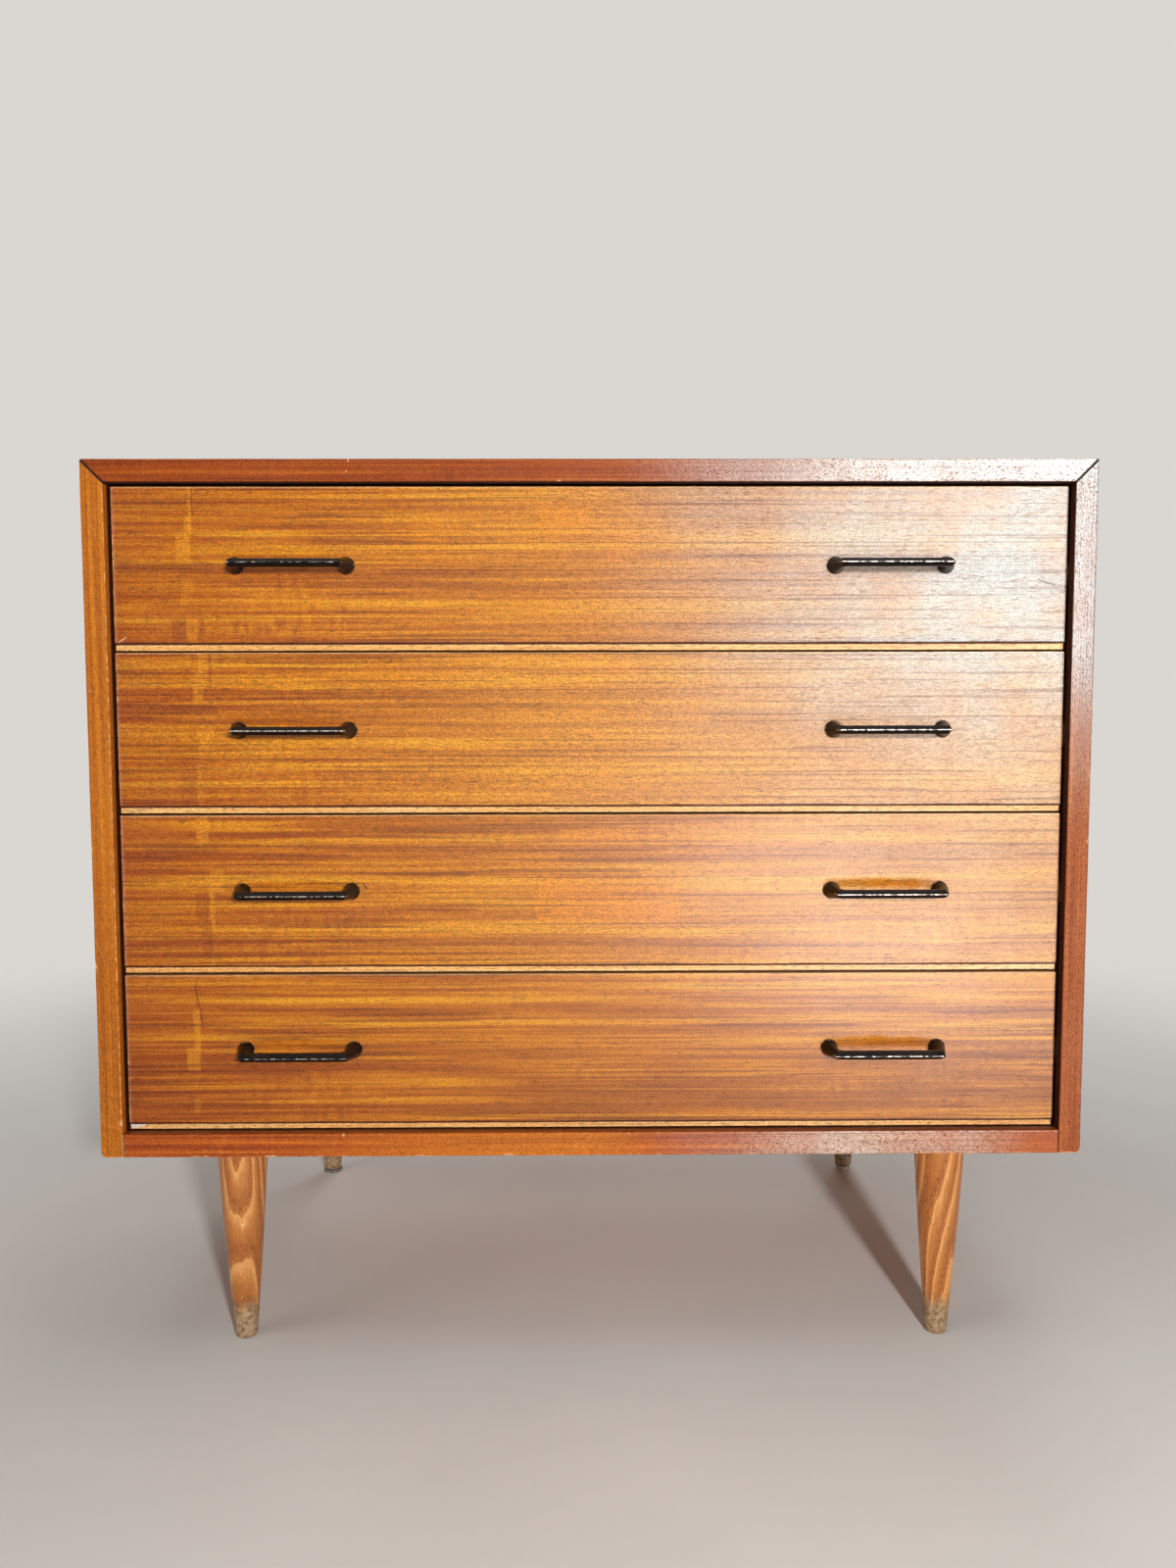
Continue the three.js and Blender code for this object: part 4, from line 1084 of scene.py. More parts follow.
# %% [markdown]
# ## Lippings and rail
#
# Strips of solid wood close the front edges of the boards. The top one meets the sides in mitres that have
# opened into dark lines, and the bottom rail butts between the sides. Each is a small rectangular section
# with its own radius on each arris. The slanting cuts are functions: across the strip, the end moves by as
# much as the strip rises.

# %% Lippings


def top_cut(sign):
    return lambda u, v: sign * (MITRE_END - (CASE_TOP - v))


def side_top_cut(u, v):
    return SIDE_TOP - (CASE_HALF - np.abs(u))


def side_foot_cut(reach):
    """The foot of a side lipping: level, with a rounded outer corner of the given radius."""
    def cut(u, v):
        inside = np.clip(reach - (CASE_HALF - np.abs(u)), 0, reach)
        return CASE_BOTTOM + reach - np.sqrt(reach**2 - inside**2)
    return cut


# Painted shade on the top lipping's underside, which looks down into the gap
add_board("lipping_top", "case", "lipping", "top_lipping", red_lipping, "x", (0.3, 0, 0),
          shade=((0, 0, -1), -lipping_low[2], 1.0), axis="x", corners=oblong(lipping_low, lipping_high),
          ends=(top_cut(-1), top_cut(1)), radius=(0.0007, 0.0001, 0.0001, 0.0009), wear=(0.3, 0, 0, 0.4),
          nick=(3, 0, 0, 7), end_round=0.0006, end_wear=(0, 0), seam=(1, 1), step=0.0025, seed=11, fill=4)

# Radius of the foot's outer corner, wear of the inner arris, and how dark the painted shade on the inner side
# is
SIDE_LIPPINGS = {"left": (0.0040, 1.0, 0.0), "right": (0.0045, 0.6, 1.0)}
for side, word in SIDES:
    foot, wear, shade = SIDE_LIPPINGS[word]
    outer, inner = side * CASE_HALF, side * OPENING_HALF
    add_board(f"lipping_{word}", "case", "lipping", f"{word}_lipping", lipping_woods[word], "z",
              (0.1, side * 0.05, 0.2), shade=((-side, 0, 0), -OPENING_HALF, shade), axis="z",
              corners=[(outer, FRONT), (inner, FRONT), (inner, LIPPING_BACK), (outer, LIPPING_BACK)],
              ends=(side_foot_cut(foot), side_top_cut), radius=(0.0008, 0.0005, 0.0001, 0.0001),
              wear=(0.6, wear, 0, 0), nick=(12, 3, 0, 0), end_round=0.0008, end_wear=(1.2, 0), seam=(0, 1),
              step=0.0025, seed=20 + side, fill=4)

# Painted shade on the rail's top, behind its very front
add_board("rail_bottom", "case", "lipping", "bottom_rail", rail_wood, "x", (0.7, 0.02, 0.3),
          shade=((0, 0, 1), rail_high[2], 0.55), axis="x", corners=oblong(rail_low, rail_high),
          ends=(rail_low[0], rail_high[0]), radius=(0.0009, 0.0001, 0.0001, 0.0006), wear=(0.85, 0, 0, 0.7),
          nick=(26, 0, 0, 4), end_wear=(0.4, 0.2), seam=(0.6, 0.8), step=0.0025, seed=31, fill=4)

# %% [markdown]
# ## Case boards
#
# The top and the sides run behind the lippings, mitred to each other along their whole depth. At the back a
# step in the section makes the rebate that takes the back panel. The outline has the rebate's corners from
# the start, lying on the straight edge, so that only their places change at the step.

# %% Top and sides
rebate_low, rebate_high = low_high("back_panel")
REBATE = rebate_high[0] + 0.0005 - OPENING_HALF
REBATE_AT = rebate_low[1] - 0.0002
UNDER_TOP, INSIDE_TOP = CASE_TOP - BOARD, SIDE_TOP - BOARD
REBATE_FOOT = OPENING_BOTTOM - REBATE
case_board = dict(axis="y", ends=(top_low[1], top_high[1]), end_wear=(0, 0.4), step=0.01, fill=3,
                  rear_at=REBATE_AT)


def top_section(half, low):
    """The top board's section: lower corners at this half width and height, upper ones on the mitres."""
    return [(-half, low), (half, low), (MITRE_END, CASE_TOP), (-MITRE_END, CASE_TOP)]


add_board("board_top", "case", "veneer", "top_panel", panel_veneer, "x", (0.2, 0.4, 0),
          corners=top_section(MITRE_END - BOARD, UNDER_TOP), radius=(0.0001, 0.0001, 0.0005, 0.0005),
          rear=top_section(MITRE_END - BOARD + REBATE, UNDER_TOP + REBATE), wear=(0, 0, 0.7, 0.7),
          nick=(0, 0, 4, 4), seed=41, **case_board)

for side, word in SIDES:
    inner, outer, rear = side * OPENING_HALF, side * CASE_HALF, side * (OPENING_HALF + REBATE)
    outside = [(inner, CASE_BOTTOM), (outer, CASE_BOTTOM), (outer, SIDE_TOP)]
    add_board(f"board_{word}", "case", "veneer", f"side_panel_{word}", panel_veneer, "z", (0, side * 0.3, 0.5),
              corners=outside + [(inner, INSIDE_TOP), (inner, REBATE_FOOT + 0.0002), (inner, REBATE_FOOT)],
              rear=outside + [(rear, INSIDE_TOP + REBATE), (rear, REBATE_FOOT), (inner, REBATE_FOOT)],
              radius=(0.0003, 0.0008, 0.0005, 0.0001, 0, 0), wear=(0.5, 1.0, 0.7, 0, 0, 0),
              nick=(2, 8, 4, 0, 0, 0), seed=50 + side, **case_board)

# %% [markdown]
# ## Pieces that keep the solid's own shape
#
# The bottom board with its pockets, the drawer fronts with their joints, the runners and the plates are
# already right as solids, but their arrises are knife sharp. A copy of each is merged, its flat faces are
# joined, and a Bevel modifier breaks the edges.

# %% Softened copies


def softened(name, node, body, material, width, grain="x", shift=(0, 0, 0)):
    """A copy of a solid with arrises broken by the width."""
    shape = bmesh.new()
    shape.from_mesh(nodes[node].data)
    bmesh.ops.remove_doubles(shape, verts=shape.verts, dist=2e-6)
    bmesh.ops.dissolve_limit(shape, angle_limit=radians(1), verts=shape.verts, edges=shape.edges)
    mesh = bpy.data.meshes.new(name)
    shape.to_mesh(mesh)
    shape.free()
    points = np.empty(len(mesh.vertices) * 3)
    mesh.vertices.foreach_get("co", points)
    note(mesh, "grain", points.reshape(-1, 3)[:, AXES[grain]] + np.array(shift))
    piece = hang(name, mesh, body, [node], material)
    bevel = piece.modifiers.new("broken_arrises", "BEVEL")
    bevel.width = width
    bevel.segments = 2
    bevel.limit_method = "ANGLE"
    bevel.angle_limit = radians(50)


softened("board_bottom", "bottom_panel", "case", panel_veneer, 0.0003, "x", (0.5, 0.1, 0.9))
softened("panel_back", "back_panel", "case", ply_wood, 0.0003, "z", (0.2, 0, 0))

# %% [markdown]
# ## Drawers
#
# Each drawer has a veneered face on a pale front board, whose lower edge shows as a thin strip, two grooved
# sides, a back and a plywood bottom. The face's grain coordinates start at its own lower edge, so that all
# four faces get the same stripes, and a small step through the noise from leaf to leaf makes them sisters and
# not copies.

# %% Drawers
LEAF_STEP = 0.0022

for number in NUMBERS:
    body = f"drawer_{number}"
    low, high = low_high(f"{body}_face")
    # The face's lower front arris gets painted shade through dirt
    add_board(f"face_{number}", body, "veneer", f"{body}_face", face_veneers[number], "x",
              (0, number * LEAF_STEP - low[1], -low[2]), axis="x", corners=oblong(low, high),
              ends=(low[0], high[0]), radius=(0.0009, 0.0001, 0.0001, 0.0006), wear=(0, 0, 0, 0.6),
              nick=(4, 0, 0, 4), nick_depth=0.0005, end_round=0.0011, end_wear=(0.9, 0.6), dirt=(1.0, 0, 0, 0),
              step=0.004, seed=60 + number, fill=3)
    softened(f"front_{number}", f"{body}_front", body, front_wood, 0.0004, "x",
             (number * 0.9, 0, number * 0.2))
    softened(f"back_{number}", f"{body}_back", body, box_wood, 0.0006, "x", (number * 0.7, 1, 0))
    softened(f"base_{number}", f"{body}_bottom", body, ply_wood, 0.0003, "y", (number * 0.5, 0, 1))

# %% Old filler
# Somebody has mended the lower left corner of the bottom drawer with white filler. It is a lump whose section
# shrinks towards its tip, in front of the front board's strip.
FILLER_LONG, FILLER_HIGH, FILLER_DEEP = 0.014, 0.0046, 0.0016
FILLER_RINGS, FILLER_TURNS = 24, 28


def filler_points(corner):
    """Ellipses along x: half height and half depth shrink as the root of the share that is left, with noise."""
    share = np.linspace(0.0, 1.0, FILLER_RINGS)
    size = np.sqrt(np.clip(1 - share, 0.01, 1)) * (0.35 + 0.65 * np.minimum(share / 0.08, 1))
    angle = np.linspace(0, 2 * pi, FILLER_TURNS, endpoint=False)
    rough = 1 + 0.10 * wander(share, 510, FILLER_TURNS, 0.5)
    half_high, half_deep = FILLER_HIGH / 2, FILLER_DEEP / 2
    x = corner[0] + FILLER_LONG * share[:, None] + np.zeros(FILLER_TURNS)
    y = corner[1] - half_deep * (size[:, None] * rough * np.sin(angle) * 0.8)
    z = corner[2] + half_high * (2 - size[:, None]) + half_high * size[:, None] * np.cos(angle)
    return np.stack([x, y, z], axis=-1)


points = filler_points(low_high("drawer_4_front")[0] + (0.0002, 0, 0.0001))
make_piece("filler_4", "drawer_4", "pale_pad", [], filler, points)

# %% Drawer sides
RUNNER_CLEAR, GROOVE_ROOM = 0.001, 0.0003
RUNNER_GROOVE, BASE_GROOVE = 0.007, 0.005
SIDE_RADII = (0.0006, 0.0006, 0.0004, 0.0001, 0.0001, 0.0004, 0.003, 0.003, 0.0003, 0.0001, 0.0001, 0.0003)

for number in NUMBERS:
    base_low, base_high = low_high(f"drawer_{number}_bottom")
    for sign, word in SIDES:
        low, high = low_high(f"drawer_{number}_side_{word}")
        run_low, run_high = low_high(f"runner_{number}_{word}")
        inner, outer = sorted((abs(low[0]), abs(high[0])))
        run_x, base_x = outer - RUNNER_GROOVE, inner + BASE_GROOVE
        run_foot, run_top = run_low[2] - RUNNER_CLEAR, run_high[2] + GROOVE_ROOM
        base_foot, base_top = base_low[2] - GROOVE_ROOM, base_high[2] + GROOVE_ROOM
        section = [(inner, low[2]), (outer, low[2]), (outer, run_foot), (run_x, run_foot), (run_x, run_top),
                   (outer, run_top), (outer, high[2]), (inner, high[2]), (inner, base_top), (base_x, base_top),
                   (base_x, base_foot), (inner, base_foot)]
        add_board(f"side_{number}_{word}", f"drawer_{number}", "box_wood", f"drawer_{number}_side_{word}",
                  box_wood, "y", (number * 0.8, sign * 0.3, 0), axis="y",
                  corners=[(sign * x, z) for x, z in section], ends=(low[1], high[1]), radius=SIDE_RADII,
                  wear=0, end_wear=(0, 0.5), step=0.02, seed=70 + number, end_round=0.0004)
        softened(f"runner_{number}_{word}_wood", f"runner_{number}_{word}", "case", box_wood,
                 0.0005, "y", (number * 0.6, sign * 0.7, 0.4))

# %% [markdown]
# ## Bow handles
#
# A handle is one casting: two round feet flow into a bar with two facets that meet in a front ridge, and the
# ridge runs down the slanting outer ends. A subdivision surface over a coarse cage could do it. Here the
# section is stretched between an inner and an outer path seen from above, while it changes from a circle at
# the feet to the ridged polygon of the bar.

# %% Handle surface
BAR_HIGH, BAR_DEEP = 0.0066, 0.008
RIDGED = np.array(
    [(8.0, 0.0), (5.0, 3.3), (1.2, 3.3), (0.0, 2.1), (0.0, -2.1), (1.2, -3.3), (5.0, -3.3)]) / 1000
RIDGED_RADII = np.array([0.35, 0.8, 0.8, 0.8, 0.8, 0.8, 0.8]) / 1000
# Place along the handle, outer path (x, y), inner path (x, y), half height, and share of the ridged section
HALF_PATH = np.array([
    (0.000, -51.0, 0.0, -37.0, 0.0, 7.0, 0.00),
    (0.010, -51.0, 1.2, -37.0, 1.2, 7.0, 0.00),
    (0.018, -50.6, 2.2, -37.4, 2.2, 6.6, 0.00),
    (0.050, -49.2, 7.0, -38.6, 5.5, 5.5, 0.15),
    (0.100, -46.9, 15.6, -39.4, 10.5, 4.3, 0.45),
    (0.150, -44.7, 24.0, -38.9, 15.2, 3.5, 0.85),
    (0.160, -44.0, 25.8, -38.3, 16.4, 3.35, 1.00),
    (0.200, -40.5, 25.8, -35.8, 17.7, 3.3, 1.00),
    (0.230, -37.0, 25.8, -33.5, 17.8, 3.3, 1.00),
    (0.500, 0.0, 25.8, 0.0, 17.8, 3.3, 1.00)])
STATIONS = 161


def handle_points(seed, ridge_wear):
    """Outer and inner path with a section stretched between them: inner + (outer - inner) * a, height * b.

    a and b are the section's two coordinates, from nought to one and from -1 to 1. At the feet they are a
    circle, at the bar the ridged polygon, and between the two they are mixed by the path's last column."""
    knots = HALF_PATH[:, 1:] * ([0.001] * 5 + [1.0])
    mirrored = knots[-2::-1] * (-1, 1, -1, 1, 1, 1)
    places = np.concatenate([HALF_PATH[:, 0], 1 - HALF_PATH[-2::-1, 0]])
    t = np.linspace(0, 1, STATIONS)
    t = np.unique(np.concatenate([t, places]))
    path = np.stack([np.interp(t, places, column) for column in np.concatenate([knots, mirrored]).T], axis=1)
    outer, inner, height, share = path[:, 0:2], path[:, 2:4], path[:, 4, None], path[:, 5, None]
    outer = outer - [0, 1] * (np.abs(outer[:, :1]) < 0.043) * 0.00012 * nicks(t, seed, [14], 0.006)
    bar = soft_outline(RIDGED[None], RIDGED_RADII[None])[0] / (BAR_DEEP, BAR_HIGH / 2)
    angle = np.arctan2(bar[:, 1], 2 * bar[:, 0] - 1)
    round_a, round_b = (1 + np.cos(angle)) / 2, np.sin(angle)
    a = round_a + (bar[:, 0] - round_a) * share
    b = round_b + (bar[:, 1] - round_b) * share
    plan = inner[:, None] + (outer - inner)[:, None] * a[..., None]
    ridge = on_arcs(np.array([[ridge_wear, 0, 0, 0, 0, 0, 0]])) * np.clip(share * 2 - 0.6, 0, 1)
    rim = ((path[:, 1] > 0.001) & (path[:, 1] < 0.0024))[:, None] * 0.9
    return plan, height * b, np.maximum(ridge, rim).ravel()


RIDGE_WEAR = {"left": (1.0, 1.35, 1.15, 1.05), "right": (1.2, 1.35, 1.35, 1.2)}
for number in NUMBERS:
    for sign, word in SIDES:
        node = f"handle_{number}_{word}"
        middle, seat = middle_of(node), low_high(node)[1][1]
        plan, height, worn = handle_points(100 + 2 * number + sign, RIDGE_WEAR[word][number - 1])
        points = np.stack([middle[0] + plan[..., 0], seat - plan[..., 1], middle[2] + height], axis=-1)
        make_piece(f"pull_{number}_{word}", f"drawer_{number}", "handle_lacquer", [node], dark_lacquer, points,
                   worn=worn)

# %% [markdown]
# ## Turned legs
#
# A leg is a lathe shape: a radius that grows from foot to top, turned about its axis. Small dents are bell
# curves taken off the radius. The grain's coordinates are measured from the tree's pith, which leans against
# the leg, and that alone makes the rings come out as arches.

# %% Legs
FOOT_RADIUS, TOP_RADIUS, SWELL, TIP = 0.009, 0.0215, 0.0005, 0.003
STUD_RADIUS = 0.004
TURNS, TIP_RINGS, BODY_RINGS = 72, 8, 90


def leg_points(sole, top, stud_top, seed, dents):
    """Radius along the height: a taper and a parabola, a quarter circle at the tip, dents and the stud."""
    tip = np.linspace(0, pi / 2, TIP_RINGS)
    body = np.linspace(sole + TIP, top - 0.001, BODY_RINGS)[1:]
    z = np.concatenate([sole + TIP * (1 - np.cos(tip)), body])
    share = (z - sole) / (top - sole)
    radius = FOOT_RADIUS + (TOP_RADIUS - FOOT_RADIUS) * share + SWELL * 4 * share * (1 - share)
    radius[:TIP_RINGS] = radius[TIP_RINGS - 1] - TIP * (1 - np.sin(tip))
    angle = np.linspace(0, 2 * pi, TURNS, endpoint=False)
    random = np.random.default_rng(seed)
    place, turn = random.uniform(0.03, 0.165, dents), random.uniform(-pi, 0.3, dents)
    size, wide = random.uniform(0.3, 1.0, dents), random.uniform(0.0012, 0.0028, dents)
    around = np.abs(np.angle(np.exp(1j * (angle[:, None] - turn)))) * 0.016
    bell = size * np.exp(-((z[:, None, None] - place) ** 2 * 0.4 + around**2) / wide**2)
    dent = bell.max(axis=2, initial=0.0)
    surface = radius[:, None] * (1 + 0.003 * wander(z, seed, 1, 0.2)) - 0.0005 * dent
    crown = np.array([
        (TOP_RADIUS - 0.0004, top - 0.0003), (TOP_RADIUS - 0.001, top), (STUD_RADIUS + 0.0005, top),
        (STUD_RADIUS, top + 0.0005), (STUD_RADIUS, stud_top - 0.0008), (STUD_RADIUS - 0.0008, stud_top)])
    surface = np.concatenate([surface, np.repeat(crown[:, :1], TURNS, axis=1)])
    z = np.concatenate([z, crown[:, 1]])
    worn = np.concatenate([dent * 1.1, np.zeros((len(crown), TURNS))])
    return np.stack([surface * np.cos(angle), surface * np.sin(angle), np.repeat(z[:, None], TURNS, axis=1)],
                    axis=-1), worn.ravel()


def leg_grain(points, middle, lean):
    """Coordinates from the pith: the height, and the two distances from a line that leans by lean = (x, y)."""
    x, y, z = np.moveaxis(points, -1, 0)
    return np.stack([z, x - (middle[0] + lean[0] * z), y - (middle[1] + lean[1] * z)], axis=-1).reshape(-1, 3)


PITHS = {"front_left": ((0.0005, 0.015), (0.0, -0.183), 9), "front_right": ((-0.009, 0.012), (0.03, -0.14), 4),
         "back_left": ((0.02, -0.02), (-0.12, 0.10), 3), "back_right": ((-0.018, 0.014), (0.10, -0.12), 3)}
for seed, (word, (middle, lean, dents)) in enumerate(PITHS.items()):
    low, high = low_high(f"leg_{word}")
    points, worn = leg_points(low[2], low_high(f"leg_plate_{word}")[0][2] - 0.0002, high[2], 200 + seed, dents)
    make_piece(f"turned_{word}", "case", "leg_wood", [f"leg_{word}"], leg_wood,
               points + middle_of(f"leg_{word}") * (1, 1, 0), grain=leg_grain(points, middle, lean), worn=worn)
    softened(f"plate_{word}", f"leg_plate_{word}", "case", zinc, 0.0003)

# %% [markdown]
# ## Pads under the back feet
#
# One back foot stands on a felt disc and the other on an old glide that has been trodden out of round. Both
# are short lathe shapes whose rim is pushed in and out by noise around the axis.

# %% Pads


def pad_points(radius, height, ragged, seed):
    """Radius times one plus noise around the axis, carried up a rim with a soft top and bottom edge."""
    angle = np.linspace(0, 2 * pi, 96, endpoint=False)
    rim = 1 + ragged * wander(angle, seed, 1, 2 * pi, 14)[:, 0]
    levels = np.array([(0.30, 0.0), (0.80, 0.0), (0.93, 0.04), (0.98, 0.15), (1.0, 0.5), (0.985, 0.85),
                       (0.93, 0.97), (0.80, 1.0), (0.30, 1.0)])
    reach = radius * levels[:, :1] * (1 + (rim - 1) * (levels[:, :1] > 0.7))
    return np.stack([reach * np.cos(angle), reach * np.sin(angle),
                     np.repeat(levels[:, 1:] * height, len(angle), axis=1)], axis=-1)


PADS = {"back_left": (felt, "felt", 0.012), "back_right": (glide, "pale_pad", 0.03)}
for word, (material, slot, ragged) in PADS.items():
    low, high = low_high(f"pad_{word}")
    points = pad_points((high[0] - low[0]) / 2 / (1 + ragged), high[2] - low[2], ragged, 300 + len(word))
    x, y = middle_of(f"pad_{word}")[:2]
    make_piece(f"glide_{word}", "case", slot, [f"pad_{word}"], material, points + (x, y, low[2]))

# %% [markdown]
# ## Screws and nails
#
# Screws hold the handles, runners and leg plates, and panel pins hold the back. A slotted head is a dome cut
# by a straight slot. Its rings are rows across the disc, so the slot's walls are two pairs of rows at the
# same place and different heights.

# %% Fasteners


def slotted_head(radius, rise, slot_width, slot_depth, sunk):
    """Rows y across a disc, x from edge to edge, z = rise * (1 - (r / radius)^2) less the slot, a flat base."""
    half = slot_width / 2
    side = np.sin(np.linspace(1.55, np.arcsin(half / radius), 8)) * radius
    rows = np.concatenate([-side, [-half, 0.0, half], side[::-1]])
    cut = np.concatenate([np.zeros(8), np.ones(3), np.zeros(8)]) * slot_depth
    across = np.sin(np.linspace(-pi / 2, pi / 2, 13))
    x = np.sqrt(np.maximum(radius**2 - rows[:, None] ** 2, 1e-10)) * across
    y = np.repeat(rows[:, None], 13, axis=1)
    top = rise * (1 - (x**2 + y**2) / radius**2) - cut[:, None]
    upper = np.stack([x, y, top], axis=-1)
    lower = np.stack([x, y, np.full(x.shape, -sunk)], axis=-1)
    return np.concatenate([upper, lower[:, ::-1]], axis=1)


def fasteners(name, body, head, places, facing, seed):
    """Copies of a head at each place, each turned at random. facing holds the directions of its own axes."""
    places = np.array(places)
    turn = np.random.default_rng(seed).uniform(0, pi, len(places))[:, None, None]
    x, y, z = head[..., 0], head[..., 1], head[..., 2]
    a, b = x * np.cos(turn) - y * np.sin(turn), x * np.sin(turn) + y * np.cos(turn)
    across, upward, outward = np.array(facing, float)
    points = (places[:, None, None] + a[..., None] * across + b[..., None] * upward
              + np.broadcast_to(z, a.shape)[..., None] * outward)
    quads, caps = skin(head)
    steps = np.arange(len(places)) * head.shape[0] * head.shape[1]
    all_quads = (quads + steps[:, None, None]).reshape(-1, 4)
    all_caps = [cap + step for step in steps for cap in caps]
    make_piece(name, body, "steel", [], zinc, points, (all_quads, all_caps))


X, Y, Z = np.eye(3)
handle_screw = slotted_head(0.0042, 0.0016, 0.0009, 0.0010, 0.0003)
flush_screw = slotted_head(0.0023, 0.0001, 0.0006, 0.0006, 0.0014)
runner_screw = slotted_head(0.0034, 0.0002, 0.0007, 0.0006, 0.0012)
pin_head = slotted_head(0.0014, 0.0004, 0.0002, 0.0, 0.0002)
FOOT_AXIS, RUNNER_END = 0.044, 0.04
HOLE_REACH, PIN_INSET, PIN_END = 0.016, 0.0045, 0.1

for number in NUMBERS:
    inside = low_high(f"drawer_{number}_front")[1][1]
    places = []
    for side, word in SIDES:
        middle = middle_of(f"handle_{number}_{word}")
        places += [(middle[0] + reach, inside, middle[2]) for reach in (-FOOT_AXIS, FOOT_AXIS)]
        low, high = low_high(f"runner_{number}_{word}")
        middle = (low + high) / 2
        inner = high[0] if side < 0 else low[0]
        runs = [(inner, y, middle[2]) for y in (low[1] + RUNNER_END, middle[1], high[1] - RUNNER_END)]
        fasteners(f"runner_screws_{number}_{word}", "case", runner_screw, runs,
                  (Y, Z, X) if side < 0 else (Z, Y, -X), 400 + number)
    fasteners(f"handle_screws_{number}", f"drawer_{number}", handle_screw, places, (Z, X, Y), 410 + number)

places = []
for word in PITHS:
    x, y = middle_of(f"leg_plate_{word}")[:2]
    under = low_high(f"leg_plate_{word}")[0][2] + 0.0001
    places += [(x + a * HOLE_REACH, y + b * HOLE_REACH, under) for a in (-1, 1) for b in (-1, 1)]
fasteners("plate_screws", "case", flush_screw, places, (Y, X, -Z), 420)

low, high = low_high("back_panel")
left, foot = (low + PIN_INSET)[[0, 2]]
right, crown = (high - PIN_INSET)[[0, 2]]
pins = [(x, high[1], z) for x in np.linspace(left, right, 7) for z in (foot, crown)]
pins += [(x, high[1], z) for x in (left, right) for z in np.linspace(low[2] + PIN_END, high[2] - PIN_END, 4)]
fasteners("back_pins", "case", pin_head, pins, (Z, X, Y), 430)

# %% [markdown]
# ## Floor and light
#
# The chest stands on a plain pale floor in a pale room. The floor has no gloss, its colour fades into the
# backdrop, so that there is no horizon, and it is clear from below, so that a view from below sees the chest.
# A small lamp near the front lights the wood and gives the handles' shadows their direction. It is hidden
# from reflections. Two large lamps act in reflections alone: one stands where the window was, and the other
# lies on the floor and gives the low gleam on the legs and the rail. Three weak lamps and the sky fill the
# other sides.

# %% Floor
BACKDROP = colour(218, 215, 210)
FLOOR_RADIUS, FLOOR_RINGS, FLOOR_TURNS = 14.0, 24, 96
FLOOR_LEVEL = -0.0002
FADE = (0.5, 1.75)


def floor_points():
    """A flat disc: a radius that grows with the square of the ring's number, turned about Z."""
    angle = np.linspace(0, 2 * pi, FLOOR_TURNS, endpoint=False)
    reach = FLOOR_RADIUS * np.linspace(0.02, 1, FLOOR_RINGS) ** 2
    return np.stack([np.outer(reach, np.cos(angle)), np.outer(reach, np.sin(angle)),
                     np.full((FLOOR_RINGS, FLOOR_TURNS), FLOOR_LEVEL)], axis=-1)


points = floor_points()
quads, caps = skin(points)
mesh = bpy.data.meshes.new("floor")
mesh.from_pydata(points.reshape(-1, 3).tolist(), [], quads[:, ::-1].tolist() + [caps[0][::-1].tolist()])
shown("floor", mesh)

material, tree, shader = start_material("pale_floor")
mesh.materials.append(material)
here = at(tree)
grit = clouds(tree, here, 3.0, 3.0)
fill(tree, shader, {"Base Color": ramp(tree, grit, [(0.3, (220, 217, 212)), (0.7, (228, 225, 220))]),
                    "Roughness": 0.6, "Specular IOR Level": 0.0})
glow = add(tree, "ShaderNodeEmission", {"Color": BACKDROP, "Strength": 1.0})[0]
far = remap(tree, vectors(tree, "LENGTH", here), *FADE)
both = add(tree, "ShaderNodeMixShader", {0: far, 1: shader.outputs[0], 2: glow})[0]
under = add(tree, "ShaderNodeNewGeometry")["Backfacing"]
clear = add(tree, "ShaderNodeBsdfTransparent")[0]
output = next(n for n in tree.nodes if n.type == "OUTPUT_MATERIAL")
fill(tree, output, {"Surface": add(tree, "ShaderNodeMixShader", {0: under, 1: both, 2: clear})[0]})
print("floor looks up", mesh.polygons[0].normal.z > 0)

# %% Light
AMBIENT = 0.11
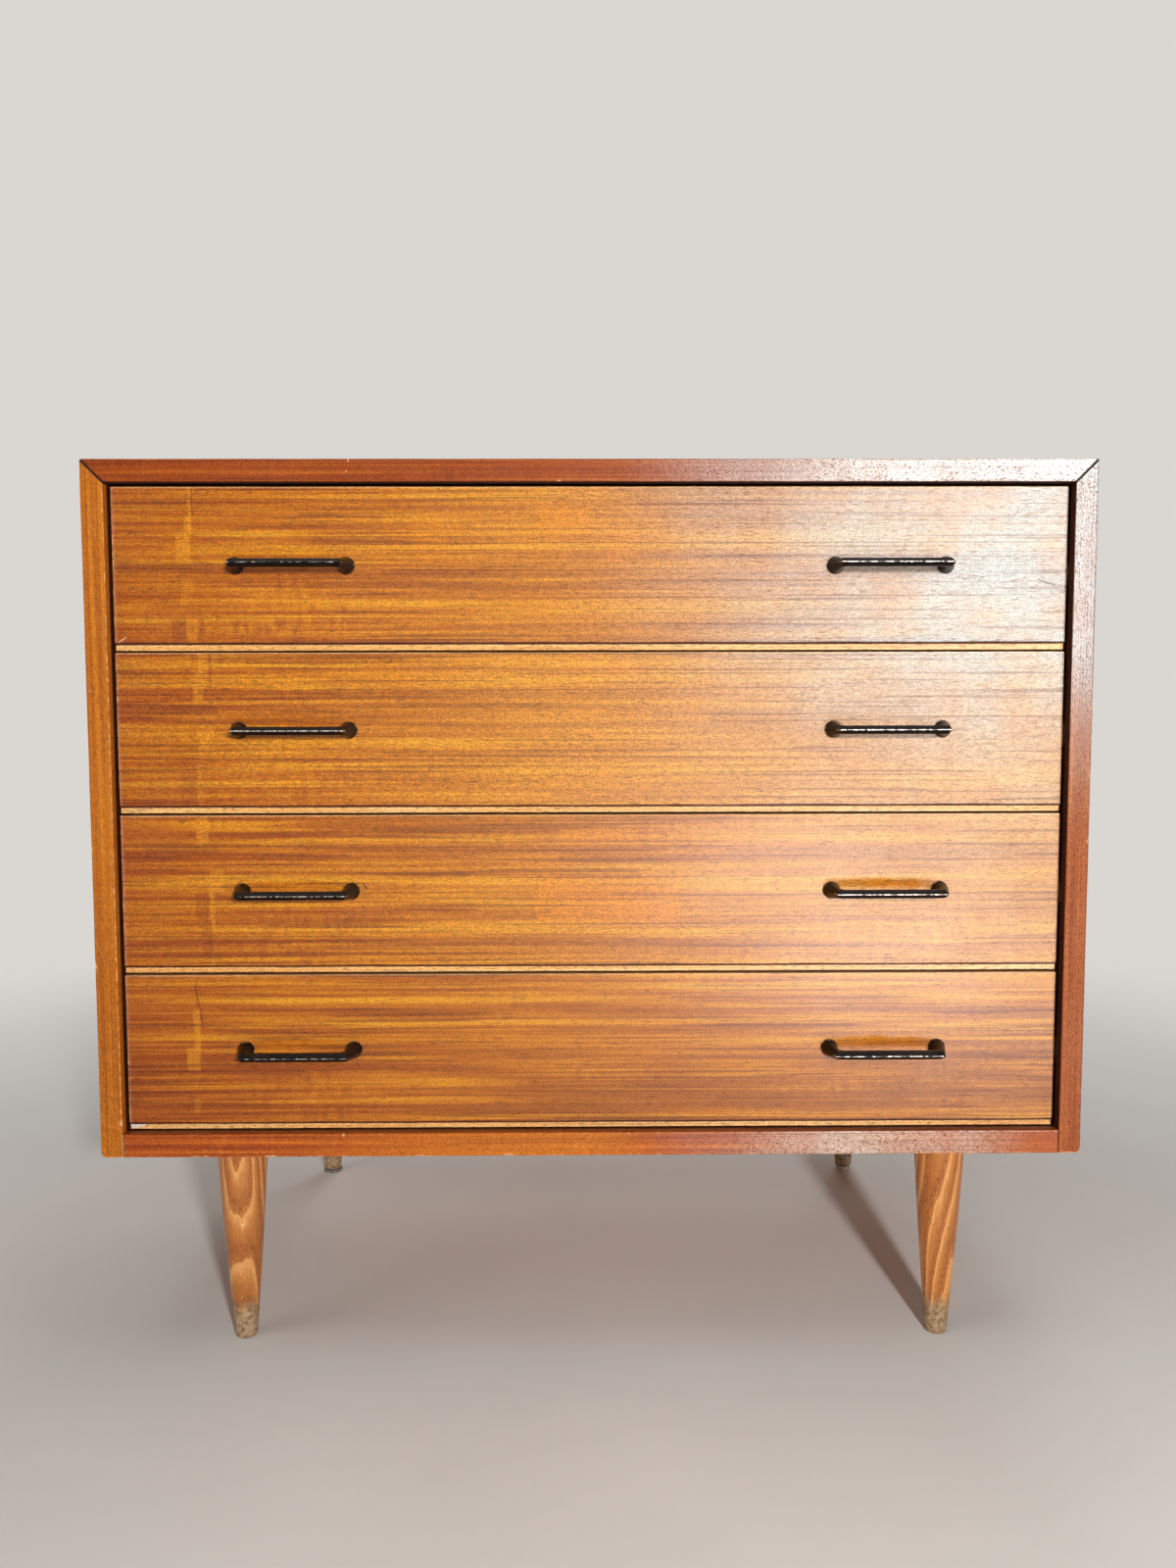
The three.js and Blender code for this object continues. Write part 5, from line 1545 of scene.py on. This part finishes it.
# Name, place, the point that it looks at, width and height, watts, and its turn about its own axis in degrees
LAMPS = (
    ("key", (0.38, -1.85, 0.80), (0.0, -0.2, 0.45), (0.10, 0.10), 24.6, 0),
    ("window_sheen", (1.3, -2.7, 1.18), (0.3, -0.2, 0.5), (0.90, 1.55), 158, -14),
    ("floor_shine", (0.69, -1.55, 0.01), (0.69, -1.5, 1.0), (0.42, 2.1), 235, 20),
    ("fill_left", (-2.6, -1.6, 1.6), (0.0, 0.0, 0.45), (1.8, 1.8), 14, 0),
    ("fill_back", (0.8, 2.8, 2.0), (0.0, 0.2, 0.4), (2.0, 1.6), 26, 0),
    ("fill_top", (0.0, -0.2, 2.8), (0.0, 0.0, 0.5), (2.0, 2.0), 18, 0))


def lamp(name, place, target, size, power, turn):
    """A rectangular lamp that looks at a point, turned about its own axis."""
    light = bpy.data.lights.new(name, "AREA")
    light.shape = "RECTANGLE"
    light.size, light.size_y = size
    light.energy = power
    out = np.array(place) - target
    out /= np.linalg.norm(out)
    side = np.cross([0, 0, 1], out)
    side /= np.linalg.norm(side)
    rise = np.cross(out, side)
    across, along = np.cos(radians(turn)), np.sin(radians(turn))
    holder = shown(name, light)
    holder.matrix_world = placed([side * across + rise * along, rise * across - side * along, out], place)
    return holder


lamps = {row[0]: lamp(*row) for row in LAMPS}
lamps["key"].visible_glossy = False
lamps["floor_shine"].visible_camera = False
for name in ("window_sheen", "floor_shine"):
    lamps[name].visible_diffuse = False

world = bpy.data.worlds.new("studio")
bpy.context.scene.world = world
world.use_nodes = True
tree = world.node_tree
tree.nodes.clear()
path = add(tree, "ShaderNodeLightPath")
seen = maths(tree, "MAXIMUM", path["Is Glossy Ray"], path["Is Transmission Ray"])
seen = maths(tree, "MAXIMUM", path["Is Camera Ray"], seen)
sky = add(tree, "ShaderNodeBackground", {"Color": (1, 1, 1, 1), "Strength": AMBIENT})[0]
backdrop = add(tree, "ShaderNodeBackground", {"Color": BACKDROP, "Strength": 1.0})[0]
mixed = add(tree, "ShaderNodeMixShader", {0: seen, 1: sky, 2: backdrop})[0]
add(tree, "ShaderNodeOutputWorld", {"Surface": mixed})
print("lamps", list(lamps), "world", world.name)
